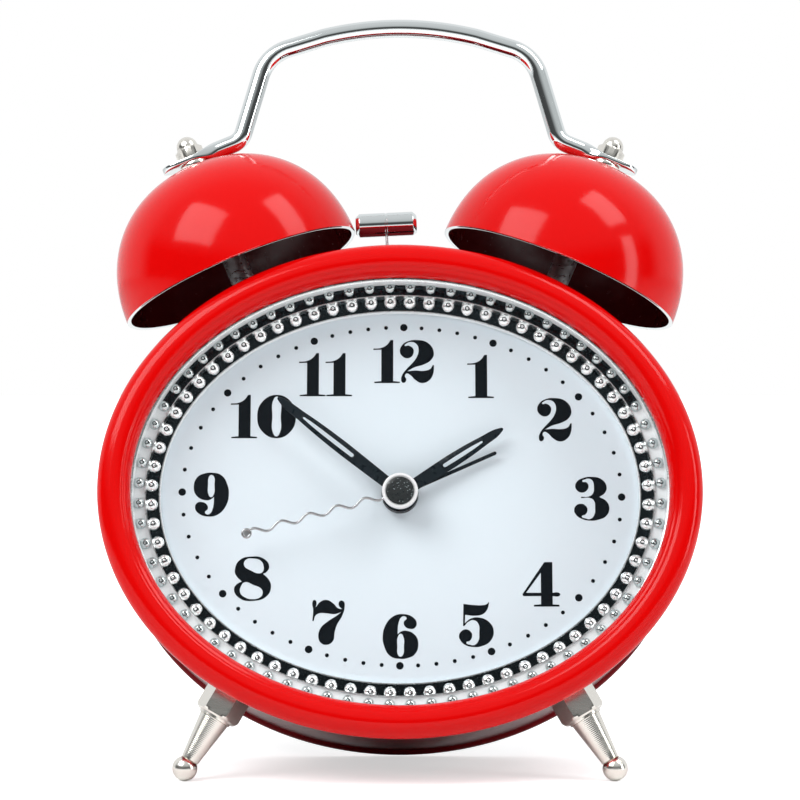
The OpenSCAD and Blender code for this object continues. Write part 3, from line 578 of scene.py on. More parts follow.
def flat_shape(name: str, loops: Sequence[Loop], thick: float, bevel: float = 0.0,
               steps: int = 6) -> Shell:
    """Flat shape with holes from smooth and corner points, in the X-Y plane.

    Args:
        name: name of the scratch curve.
        loops: closed loops of (x, y) smooth points and (x, y, 1) corner points.
        thick: whole thickness.
        bevel: rounding of the edges.
        steps: pieces in a curved stretch.

    Returns:
        The shell, with its middle at Z = 0.
    """
    curve = bpy.data.curves.new(name, "CURVE")
    curve.dimensions, curve.fill_mode = "2D", "BOTH"
    curve.resolution_u, curve.extrude = steps, thick / 2 - bevel
    curve.bevel_depth, curve.bevel_resolution, curve.offset = bevel, 1 if bevel else 0, -bevel
    for loop in loops:
        spline = curve.splines.new("BEZIER")
        spline.bezier_points.add(len(loop) - 1)
        spline.use_cyclic_u = True
        for knot, point in zip(spline.bezier_points, loop):
            knot.co = (point[0], point[1], 0)
            kind = "VECTOR" if len(point) == 3 else "AUTO"
            knot.handle_left_type = knot.handle_right_type = kind
    obj = added(name, curve)
    shell = mesh_shell(evaluated(obj))
    bpy.data.objects.remove(obj)
    return shell


def mesh_shell(mesh: bpy.types.Mesh) -> Shell:
    """A mesh's own points and faces as a shell."""
    return Shell(corners(mesh), [list(p.vertices) for p in mesh.polygons])


# ---------- repeats, by geometry nodes ----------


class Repeat:
    """Copies of one shell, spread by a geometry node tree that this class builds."""

    def __init__(self, name: str, template: Shell, finish: Finish) -> None:
        """Starts an empty tree.

        Args:
            name: name of the tree.
            template: the shape that repeats, in its own frame in millimetres.
            finish: the finish set on the copies.
        """
        self.tree = bpy.data.node_groups.new(name, "GeometryNodeTree")
        self.tree.interface.new_socket("Geometry", in_out="OUTPUT", socket_type="NodeSocketGeometry")
        self.finish = finish
        mesh = bpy.data.meshes.new(name + "_template")
        mesh.from_pydata(template.points.tolist(), [], template.faces)
        self.template = added(name + "_template", mesh)
        self.values: dict[str, float] = {}
        self.start = self.tree.nodes.new("NodeGroupInput")

    def node(self, kind: str, **settings: object) -> bpy.types.Node:
        """A new node with some of its settings.

        Args:
            kind: node type.
            **settings: attributes to set.

        Returns:
            The node.
        """
        made = self.tree.nodes.new(kind)
        for key, value in settings.items():
            setattr(made, key, value)
        return made

    def link(self, out: bpy.types.NodeSocket, into: bpy.types.NodeSocket) -> None:
        """Joins two sockets."""
        self.tree.links.new(out, into)

    def size(self, name: str, value: float, whole: bool = False) -> bpy.types.NodeSocket:
        """A named input of the tree.

        Args:
            name: the input's name.
            value: its value.
            whole: True for a whole number.

        Returns:
            The socket inside the tree that gives the value.
        """
        kind = "NodeSocketInt" if whole else "NodeSocketFloat"
        item = self.tree.interface.new_socket(name, in_out="INPUT", socket_type=kind)
        self.values[item.identifier] = value
        return self.start.outputs[name]

    def _fed(self, made: bpy.types.Node, *values: object) -> bpy.types.NodeSocket:
        """Sets or links a node's inputs in order.

        Args:
            made: the node.
            *values: a socket or a number for each input.

        Returns:
            The node's first output.
        """
        for place, value in zip(made.inputs, values):
            if isinstance(value, (int, float)):
                place.default_value = value
            else:
                self.link(value, place)
        return made.outputs[0]

    def maths(self, operation: str, a: object, b: object = 0.0) -> bpy.types.NodeSocket:
        """A sum on two sockets or numbers.

        Args:
            operation: the operation's name.
            a: first socket or number.
            b: second socket or number.

        Returns:
            The result.
        """
        return self._fed(self.node("ShaderNodeMath", operation=operation), a, b)

    def vector(self, x: object, y: object, z: object = 0.0) -> bpy.types.NodeSocket:
        """A vector from sockets or numbers."""
        return self._fed(self.node("ShaderNodeCombineXYZ"), x, y, z)

    def finish_with(self, points: bpy.types.NodeSocket, scale: bpy.types.NodeSocket | None = None,
                    turn: bpy.types.NodeSocket | None = None) -> Shell:
        """Puts a copy on every point, realizes the copies and evaluates the tree.

        Args:
            points: the points.
            scale: scale of each copy, a socket.
            turn: rotation of each copy, a socket.

        Returns:
            All the copies as one shell.
        """
        source = self.node("GeometryNodeObjectInfo")
        source.inputs["Object"].default_value = self.template
        copies = self.node("GeometryNodeInstanceOnPoints")
        self.link(points, copies.inputs["Points"])
        self.link(source.outputs["Geometry"], copies.inputs["Instance"])
        if scale is not None:
            self.link(scale, copies.inputs["Scale"])
        if turn is not None:
            self.link(turn, copies.inputs["Rotation"])
        real = self.node("GeometryNodeRealizeInstances")
        paint = self.node("GeometryNodeSetMaterial")
        paint.inputs["Material"].default_value = self.finish.material()
        end = self.node("NodeGroupOutput")
        self.link(copies.outputs["Instances"], real.inputs["Geometry"])
        self.link(real.outputs["Geometry"], paint.inputs["Geometry"])
        self.link(paint.outputs["Geometry"], end.inputs["Geometry"])
        return self._evaluated()

    def _evaluated(self) -> Shell:
        """Runs the tree on a scratch object, then removes the modifier and the scratch objects."""
        holder = added("holder", bpy.data.meshes.new("holder"))
        modifier = holder.modifiers.new("repeat", "NODES")
        modifier.node_group = self.tree
        for key, value in self.values.items():
            modifier[key] = value
        shell = mesh_shell(evaluated(holder))
        holder.modifiers.clear()
        bpy.data.objects.remove(holder)
        bpy.data.objects.remove(self.template)
        return shell

    def round_oval(self, count: int, a: float, b: float, late: float) -> Shell:
        """Copies at equal steps along an ellipse.

        Args:
            count: number of copies.
            a: half width.
            b: half height.
            late: share of a step by which the first copy is late.

        Returns:
            The copies.
        """
        fine = 2
        circle = self.node("GeometryNodeCurvePrimitiveCircle")
        circle.inputs["Resolution"].default_value = 512
        circle.inputs["Radius"].default_value = 1.0
        squash = self.node("GeometryNodeTransform")
        self.link(circle.outputs["Curve"], squash.inputs["Geometry"])
        self.link(self.vector(self.size("Half width", a), self.size("Half height", b), 1.0),
                  squash.inputs["Scale"])
        steps = self.node("GeometryNodeCurveToPoints")
        self.link(squash.outputs["Geometry"], steps.inputs["Curve"])
        self.link(self.maths("MULTIPLY", self.size("Count", count, True), fine), steps.inputs["Count"])
        drop = self.node("GeometryNodeDeleteGeometry", domain="POINT")
        rest = self.maths("MODULO", self.node("GeometryNodeInputIndex").outputs[0], fine)
        wrong = self.maths("COMPARE", rest, self.size("Late", round(late * fine) % fine))
        other = self.maths("SUBTRACT", 1.0, wrong)
        self.link(steps.outputs["Points"], drop.inputs["Geometry"])
        self.link(other, drop.inputs["Selection"])
        return self.finish_with(drop.outputs["Geometry"])

    def clock_dots(self, a: float, b: float, large: float, small: float) -> Shell:
        """Sixty copies at true clock angles on an ellipse, every fifth one large.

        Args:
            a: half width of the ellipse.
            b: half height.
            large: size of an hour's dot.
            small: size of a minute's dot.

        Returns:
            The dots.
        """
        line = self.node("GeometryNodeMeshLine")
        self.link(self.size("Count", 60, True), line.inputs["Count"])
        index = self.node("GeometryNodeInputIndex").outputs[0]
        angle = self.maths("MULTIPLY", index, 2 * math.pi / 60)
        sine, cosine = self.maths("SINE", angle), self.maths("COSINE", angle)
        across = self.maths("POWER", self.maths("DIVIDE", sine, self.size("Half width", a)), 2.0)
        upward = self.maths("POWER", self.maths("DIVIDE", cosine, self.size("Half height", b)), 2.0)
        radius = self.maths("INVERSE_SQRT", self.maths("ADD", across, upward))
        place = self.node("GeometryNodeSetPosition")
        self.link(line.outputs["Mesh"], place.inputs["Geometry"])
        self.link(self.vector(self.maths("MULTIPLY", radius, sine), self.maths("MULTIPLY", radius, cosine)),
                  place.inputs["Position"])
        hour = self.maths("COMPARE", self.maths("MODULO", index, 5.0), 0.0)
        grow = self.maths("MULTIPLY", hour, self.maths("SUBTRACT", self.size("Large", large),
                                                       self.size("Small", small)))
        width = self.maths("ADD", grow, self.start.outputs["Small"])
        return self.finish_with(place.outputs["Geometry"], scale=self.vector(width, width, 1.0))

    def ring(self, count: int, radius: float) -> Shell:
        """Copies round a circle, each turned to face outwards along its own X.

        Args:
            count: number of copies.
            radius: radius of the circle.

        Returns:
            The copies.
        """
        line = self.node("GeometryNodeMeshLine")
        total = self.size("Count", count, True)
        self.link(total, line.inputs["Count"])
        index = self.node("GeometryNodeInputIndex").outputs[0]
        angle = self.maths("MULTIPLY", index, self.maths("DIVIDE", 2 * math.pi, total))
        far = self.size("Radius", radius)
        place = self.node("GeometryNodeSetPosition")
        self.link(line.outputs["Mesh"], place.inputs["Geometry"])
        self.link(self.vector(self.maths("MULTIPLY", far, self.maths("COSINE", angle)),
                              self.maths("MULTIPLY", far, self.maths("SINE", angle))),
                  place.inputs["Position"])
        return self.finish_with(place.outputs["Geometry"], turn=self.vector(0.0, 0.0, angle))


# ---------- the case ----------


@dataclass
class Oval:
    """The clock's outline: every line of it is this ellipse stepped in by the same amount."""

    half_w: float = 63.5
    half_h: float = 52.6

    def ring(self, section: Sequence[Point], n: int = 240, marks: Sequence[int] = ()) -> Shell:
        """A closed section of (step inwards, depth) points swept round the outline.

        Args:
            section: the closed section.
            n: points round.
            marks: finish of each band.

        Returns:
            The swept shell.
        """
        points = [[(self.half_w - s) * math.cos(a), y, (self.half_h - s) * math.sin(a)]
                  for a in round_angles(n) for s, y in section]
        return Shell(np.array(points, float), quads(n, len(section), True), list(marks) * n)

    def disc(self, step: float, levels: Sequence[Point], n: int = 240) -> Shell:
        """A solid oval plate.

        Args:
            step: step inwards of its rim.
            levels: (extra step, depth) of each ring from the front to the back.
            n: points round.

        Returns:
            The closed plate.
        """
        points = [[(self.half_w - step - e) * math.cos(a), y, (self.half_h - step - e) * math.sin(a)]
                  for e, y in levels for a in round_angles(n)]
        last = len(levels) - 1
        faces = quads(len(levels), n) + [list(range(n)), [last * n + k for k in reversed(range(n))]]
        return Shell(np.array(points, float), faces)


OVAL = Oval()


class Plating(IntEnum):
    """Surfaces of the bead ring, in the order of its finishes. The dome is the plating; the rest is painted light
    on it: painted pale reflection on the walls and outer shelf, painted dark reflection round the pip, on the
    inner shelf and along the top of the outer shelf, and greyer painted shade on the outer beads.
    """

    DOME = 0
    PIP = 1
    # painted pale reflection
    PALE = 2
    # painted dark reflection
    BLACK = 3
    # greyer copy of the plating, painted shade
    GREY = 4


@dataclass
class Front:
    """Bezel, lens and plated bead ring."""

    tube: float = 3.5
    wall: float = 0.8
    back: float = 4.5
    lip_depth: float = 0.8
    crease_at: float = 128.0
    crease: float = 0.14
    inside: float = 0.012
    lens_step: float = 5.1
    lens: Point = (0.9, 2.4)
    beads: int = 72
    # Above this sine of the angle round the oval the outer shelf is painted dark: a painted dark reflection along
    # the top.
    dark_above: float = 0.42
    bead_r: float = 1.42
    outer_row: tuple[float, float, float] = (55.35, 44.85, 6.6)
    inner_row: tuple[float, float, float] = (52.85, 42.2, 8.9)
    outer_bead_r: float = 1.2
    tray_points: int = 240

    def bezel(self) -> bpy.types.Object:
        """The rounded, enamelled bezel with the faint crease before its lip."""
        skin = []
        for k in range(46):
            a = 4.0 * k
            dip = self.crease * math.exp(-(((a - self.crease_at) / 6.0) ** 2))
            r = self.tube - self.inside - dip
            skin.append((self.tube - r * math.cos(math.radians(a)), -r * math.sin(math.radians(a))))
        inside = [(self.tube - (self.tube - self.wall) * math.cos(math.radians(a)),
                   -(self.tube - self.wall) * math.sin(math.radians(a))) for a in range(180, -1, -10)]
        lip = [(2 * self.tube, self.lip_depth), (2 * self.tube - self.wall, self.lip_depth)]
        section = [(0.5, self.back), (0.15, self.back / 2)] + skin + lip + inside
        section.append((0.5 + self.wall, self.back))
        piece = mesh_object("bezel", OVAL.ring(section, 256), [RED])
        return settle(piece, "front_bezel")

    def glass(self) -> bpy.types.Object:
        """The flat lens with a small ground edge."""
        y0, y1 = self.lens
        plate = OVAL.disc(self.lens_step, [(0.15, y0), (0.0, y0 + 0.15), (0.0, y1 - 0.15), (0.15, y1)], 160)
        return settle(mesh_object("lens", plate, [GLASS]), "front_lens")

    @staticmethod
    def _bead(r: float, tall: float) -> Shell:
        """One bead: a dome with a small pip in a fine ring painted dark, a painted dark reflection, facing along
        its own Z.

        Args:
            r: radius.
            tall: height of the dome as a share of the radius.

        Returns:
            The bead, marked with its plating.
        """
        foot = 0.12
        rings = [(r, 0.0), (r, foot)]
        rings += [(r * math.cos(math.radians(a)), foot + r * tall * math.sin(math.radians(a)))
                  for a in (15, 30, 45, 58, 68)]
        top = foot + r * tall
        rings += [(0.24 * r, top - 0.04), (0.2 * r, top + 0.08), (0.08 * r, top + 0.14)]
        bands = [Plating.DOME] * (len(rings) - 1)
        # the pip's fine ring takes the painted dark reflection
        bands[-2] = bands[-3] = Plating.PIP
        return round_solid(rings, 20, bands)

    def bead_ring(self) -> bpy.types.Object:
        """Plated tray of the beads with its stepped wall and ridge, and both rows of beads, with painted
        reflection and shade on its walls, shelves and outer beads.
        """
        section = [(5.75, 3.2), (6.6, 3.2), (7.05, 3.45), (7.1, 6.6), (9.35, 6.6), (9.42, 6.2),
                   (9.62, 6.2), (9.72, 8.9), (12.2, 8.9), (12.3, 8.7), (12.5, 8.7), (12.6, 10.2),
                   (5.75, 10.2)]
        outer_wall, outer_shelf, inner_shelf, inner_wall = 2, 3, 7, 10
        bands = [Plating.DOME] * len(section)
        # the walls and the outer shelf take the painted pale reflection
        bands[outer_wall] = bands[outer_shelf] = bands[inner_wall] = Plating.PALE
        # the inner shelf between the rows is painted dark, a painted dark reflection in the recess
        bands[inner_shelf] = Plating.BLACK
        n = self.tray_points
        tray = OVAL.ring(section, n, bands)
        # Painted dark reflection: along the top of the oval the outer shelf is painted dark too.
        for k in range(n):
            if math.sin(2 * math.pi * (k + 0.5) / n) > self.dark_above:
                tray.marks[k * len(section) + outer_shelf] = Plating.BLACK
        shells = [tray]
        # the outer row of beads takes the greyer plating, painted shade
        rows = ((self.outer_row, self.outer_bead_r, 0.9, Plating.GREY),
                (self.inner_row, self.bead_r, 0.8, Plating.DOME))
        for (a, b, depth), r, tall, plating in rows:
            bead = self._bead(r, tall)
            row = Repeat("bead_row", bead, PLATED).round_oval(self.beads, a, b, 0.5)
            row.marks = [plating if mark == Plating.DOME else mark for mark in bead.marks]
            row.marks *= len(row.faces) // len(bead.faces)
            shells.append(row.placed(on_dial(depth)))
        finishes = [PLATED, PAINTED_DARK_REFLECTION, PAINTED_PALE_REFLECTION, PAINTED_DARK_REFLECTION, SHADED_GREY_PLATE]
        piece = mesh_object("bead_ring_plated", joined(shells), finishes, 50)
        return settle(piece, "bead_ring")


@dataclass
class Drum:
    """Pressed drum of the case, with its rolled rear rim and the slot for the hammer."""

    step: float = 1.6
    wall: float = 0.8
    front: float = 3.0
    back: float = 44.2
    roll: float = 0.9
    slot_half: float = 5.7
    slot_depth: float = 21.2
    slot_r: float = 1.6
    slot_x: float = 0.5
    slot_reach: float = 16.0

    def build(self) -> bpy.types.Object:
        """The drum with its slot cut."""
        s, b = self.step, self.back
        half_roll = 1.5
        rim = [(s - self.roll * math.sin(math.radians(a)), b - half_roll * (1 + math.cos(math.radians(a))))
               for a in range(0, 181, 20)]
        section = [(s, self.front), (s, b - 3.4)] + rim
        section += [(s + self.wall, b), (s + self.wall, self.front)]
        # The drum takes the darker red enamel, painted shade.
        piece = mesh_object("drum", OVAL.ring(section, 256), [SHADED_CASE_RED])
        self._cut(piece)
        return settle(piece, "case_drum")

    def _cut(self, piece: bpy.types.Object) -> None:
        """Cuts the hammer's slot through the top of the drum.

        Args:
            piece: the drum.
        """
        ends = [(self.slot_half - self.slot_r + self.slot_r * math.cos(math.radians(a)),
                 self.slot_r * math.sin(math.radians(a)), 1) for a in range(-90, 91, 15)]
        outline = ends + [(-x, -y, 1) for x, y, _ in ends]
        shape = flat_shape("slot", [outline], self.slot_reach)
        shape.points = shape.points + np.array([self.slot_x, self.slot_depth, OVAL.half_h])
        cutter = mesh_object("slot_cutter", shape, [SHADED_CASE_RED])
        cut = piece.modifiers.new("slot", "BOOLEAN")
        cut.operation, cut.object, cut.solver = "DIFFERENCE", cutter, "EXACT"
        mesh = evaluated(piece)
        piece.modifiers.clear()
        piece.data = mesh
        smooth(mesh, 32.0)
        bpy.data.objects.remove(cutter)


SETTLED: set[str] = set()


def body_of(node: str) -> str:
    """Name of the body that holds a node."""
    bodies = frame["record"]["behaviour"]["bodies"]
    return next(name for name, held in bodies.items() if node in held)


def settle(piece: bpy.types.Object, *nodes: str) -> bpy.types.Object:
    """Gives a piece the body of the nodes that it stands for, and hides those nodes.

    Args:
        piece: the finished piece.
        *nodes: names of the nodes that it replaces.

    Returns:
        The piece.
    """
    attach(piece, body_of(nodes[0]))
    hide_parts(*nodes)
    SETTLED.update(nodes)
    return piece


# ---------- the dial ----------

ONE = [[(0.02, 0, 1), (0.6, 0, 1), (0.6, 0.03, 1), (0.45, 0.045, 1), (0.45, 1, 1), (0.39, 1, 1),
        (0.31, 0.89), (0.17, 0.815), (0, 0.8, 1), (0, 0.77, 1), (0.18, 0.775, 1), (0.18, 0.045, 1),
        (0.02, 0.03, 1)]]
TWO = [[(0, 0.73), (0.05, 0.88), (0.18, 0.97), (0.38, 1), (0.64, 0.93), (0.77, 0.7), (0.71, 0.54),
        (0.55, 0.435), (0.32, 0.36), (0.17, 0.275, 1), (0.34, 0.29), (0.56, 0.285), (0.69, 0.33),
        (0.745, 0.42, 1), (0.775, 0.41, 1), (0.75, 0.2), (0.66, 0.06), (0.5, 0), (0.35, 0.07), (0.23, 0.19),
        (0.15, 0.22), (0.115, 0.16), (0.145, 0.09), (0.12, 0.02), (0.06, 0.01), (0.03, 0.08), (0.06, 0.2),
        (0.14, 0.31), (0.28, 0.46), (0.38, 0.6), (0.425, 0.77), (0.38, 0.9), (0.27, 0.955), (0.15, 0.92),
        (0.11, 0.87), (0.2, 0.87), (0.3, 0.8), (0.31, 0.7), (0.26, 0.61), (0.16, 0.575), (0.06, 0.62)]]
THREE = [[(0.03, 0.79), (0.08, 0.9), (0.22, 0.975), (0.38, 1), (0.63, 0.94), (0.735, 0.78), (0.7, 0.64),
          (0.57, 0.54, 1), (0.73, 0.44), (0.79, 0.27), (0.71, 0.1), (0.55, 0.025), (0.37, 0), (0.15, 0.05),
          (0.03, 0.15), (0, 0.24), (0.04, 0.34), (0.15, 0.385), (0.26, 0.34), (0.3, 0.24), (0.25, 0.14),
          (0.17, 0.1), (0.26, 0.05), (0.36, 0.04), (0.45, 0.13), (0.47, 0.3), (0.45, 0.45), (0.38, 0.51),
          (0.16, 0.515, 1), (0.16, 0.545, 1), (0.33, 0.55), (0.42, 0.61), (0.45, 0.77), (0.42, 0.91),
          (0.35, 0.955), (0.25, 0.94), (0.19, 0.9), (0.29, 0.87), (0.33, 0.78), (0.27, 0.67), (0.17, 0.64),
          (0.07, 0.69)]]
FOUR = [[(0.49, 1, 1), (0.67, 1, 1), (0.67, 0.31, 1), (0.81, 0.31), (0.84, 0.272), (0.81, 0.235),
         (0.67, 0.235, 1), (0.67, 0.05, 1), (0.82, 0.04, 1), (0.82, 0, 1), (0.25, 0, 1), (0.25, 0.04, 1),
         (0.41, 0.05, 1), (0.41, 0.235, 1), (0.02, 0.235, 1), (0, 0.272), (0.02, 0.31, 1)],
        [(0.41, 0.76, 1), (0.41, 0.31, 1), (0.08, 0.31, 1)]]
FIVE = [[(0.1, 0.965, 1), (0.32, 0.94), (0.52, 0.935), (0.62, 0.96), (0.655, 1, 1), (0.675, 1, 1),
         (0.63, 0.84), (0.54, 0.74), (0.36, 0.7), (0.14, 0.72, 1), (0.13, 0.53, 1), (0.25, 0.63),
         (0.44, 0.66), (0.67, 0.56), (0.77, 0.36), (0.7, 0.14), (0.52, 0.025), (0.32, 0), (0.13, 0.05),
         (0.03, 0.15), (0, 0.26), (0.05, 0.35), (0.16, 0.395), (0.27, 0.33), (0.29, 0.24), (0.24, 0.14),
         (0.16, 0.1), (0.25, 0.05), (0.35, 0.05), (0.43, 0.14), (0.45, 0.31), (0.43, 0.52), (0.33, 0.6),
         (0.21, 0.565), (0.12, 0.47, 1), (0.09, 0.47, 1)]]
SIX = [[(0.44, 1), (0.67, 0.93), (0.755, 0.8), (0.71, 0.69), (0.6, 0.67), (0.49, 0.73), (0.47, 0.83),
        (0.53, 0.9), (0.49, 0.95), (0.42, 0.935), (0.355, 0.81), (0.33, 0.55, 1), (0.4, 0.605), (0.5, 0.63),
        (0.72, 0.53), (0.79, 0.33), (0.71, 0.1), (0.54, 0.015), (0.4, 0), (0.17, 0.06), (0.03, 0.29),
        (0, 0.5), (0.065, 0.76), (0.235, 0.95)],
       [(0.4, 0.56), (0.455, 0.5), (0.47, 0.27), (0.45, 0.09), (0.4, 0.05), (0.34, 0.09), (0.325, 0.27),
        (0.34, 0.5)]]
SEVEN = [[(0.01, 0.965), (0.05, 1), (0.09, 0.965), (0.083, 0.835, 1), (0.17, 0.95), (0.32, 1), (0.47, 0.92),
          (0.58, 0.81), (0.665, 0.795, 1), (0.59, 0.88), (0.62, 0.98), (0.7, 0.965), (0.72, 0.83),
          (0.665, 0.64), (0.55, 0.44), (0.5, 0.27), (0.47, 0.09), (0.35, 0), (0.2, 0.035), (0.14, 0.175),
          (0.19, 0.37), (0.35, 0.52), (0.55, 0.65), (0.645, 0.73, 1), (0.52, 0.685), (0.32, 0.7),
          (0.155, 0.7), (0.075, 0.65), (0.035, 0.525, 1), (0.005, 0.53, 1), (0.023, 0.77)]]
EIGHT = [[(0.4, 1), (0.65, 0.955), (0.78, 0.78), (0.72, 0.65), (0.645, 0.61, 1), (0.78, 0.47),
          (0.825, 0.32), (0.735, 0.11), (0.43, 0), (0.12, 0.065), (0, 0.26), (0.055, 0.37),
          (0.17, 0.435, 1), (0.04, 0.58), (0.015, 0.7), (0.12, 0.92)],
         [(0.41, 0.955), (0.59, 0.905), (0.655, 0.78), (0.64, 0.66), (0.57, 0.62), (0.35, 0.695),
          (0.235, 0.77), (0.215, 0.86), (0.28, 0.94)],
         [(0.235, 0.42), (0.44, 0.355), (0.605, 0.275), (0.64, 0.18), (0.59, 0.085), (0.41, 0.04),
          (0.235, 0.085), (0.135, 0.195), (0.16, 0.34)]]
ZERO = [[(0.435, 1), (0.76, 0.84), (0.87, 0.5), (0.76, 0.16), (0.435, 0), (0.11, 0.16), (0, 0.5),
         (0.11, 0.84)],
        [(0.435, 0.96), (0.51, 0.88), (0.53, 0.5), (0.51, 0.12), (0.435, 0.04), (0.36, 0.12), (0.34, 0.5),
         (0.36, 0.88)]]
NINE = [[(0.79 - p[0], 1 - p[1], *p[2:]) for p in loop] for loop in SIX]
DIGITS = {"0": (ZERO, 0.87), "1": (ONE, 0.6), "2": (TWO, 0.775), "3": (THREE, 0.79), "4": (FOUR, 0.84),
          "5": (FIVE, 0.77), "6": (SIX, 0.79), "7": (SEVEN, 0.72), "8": (EIGHT, 0.825), "9": (NINE, 0.79)}


@dataclass
class Dial:
    """Dial plate with its printed numerals and dots."""

    depth: float = 10.3
    thick: float = 0.5
    step: float = 6.5
    hole_r: float = 3.1
    ink: float = 0.03
    digit_h: float = 9.5
    dots: Point = (46.8, 36.6)
    dot_at: Point = (0.4, 0.4)
    dot_turn: float = -0.66
    minute_dot: float = 0.85
    hour_dot: float = 1.6
    places: dict[int, Point] = field(default_factory=lambda: {
        12: (0.8, 29.5), 1: (17.3, 26.2), 2: (33.1, 16.7), 3: (40.8, -0.5), 4: (29.9, -18.9),
        5: (16.1, -27.5), 6: (0.1, -30.0), 7: (-15.1, -27.0), 8: (-31.2, -17.7), 9: (-40.2, 0.4),
        10: (-29.3, 17.4), 11: (-16.0, 26.6)})

    def plate(self) -> bpy.types.Object:
        """The oval plate, with a hole for the arbor."""
        a, b = OVAL.half_w - self.step, OVAL.half_h - self.step
        rim = [(a * math.cos(t), b * math.sin(t), 1) for t in round_angles(192)]
        hole = [(self.hole_r * math.cos(t), self.hole_r * math.sin(t), 1) for t in round_angles(48)]
        flat = flat_shape("dial", [rim, hole], self.thick)
        piece = mesh_object("dial_face", flat.placed(on_dial(self.depth + self.thick / 2)), [DIAL])
        return settle(piece, "dial_plate")

    def _number(self, value: int) -> Shell:
        """One numeral, centred on its place.

        Args:
            value: the hour.

        Returns:
            The numeral's shell in the plane of the dial.
        """
        h, x, shells = self.digit_h, 0.0, []
        for digit in str(value):
            loops, width = DIGITS[digit]
            drawn = flat_shape("digit", [[(p[0] * h + x, p[1] * h, *p[2:]) for p in loop] for loop in loops],
                               self.ink)
            shells.append(drawn)
            x += width * h
        whole = joined(shells)
        lo, hi = whole.points.min(0), whole.points.max(0)
        whole.points = whole.points - (lo + hi) / 2 + np.array([*self.places[value], 0])
        return whole

    def print(self) -> bpy.types.Object:
        """Numerals and dots, a thin layer of ink on the plate."""
        dot = round_solid([(0.5, -self.ink / 2), (0.5, self.ink / 2)], 28)
        dots = Repeat("dots", dot, INK).clock_dots(*self.dots, self.hour_dot, self.minute_dot)
        dots.points = turned(dots.points, 2, self.dot_turn) + np.array([*self.dot_at, 0])
        shells = [self._number(n) for n in self.places] + [dots]
        placed = joined(shells).placed(on_dial(self.depth - self.ink / 2))
        piece = mesh_object("dial_print", placed, [INK], 60)
        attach(piece, body_of("dial_plate"))
        return piece


# ---------- hands ----------


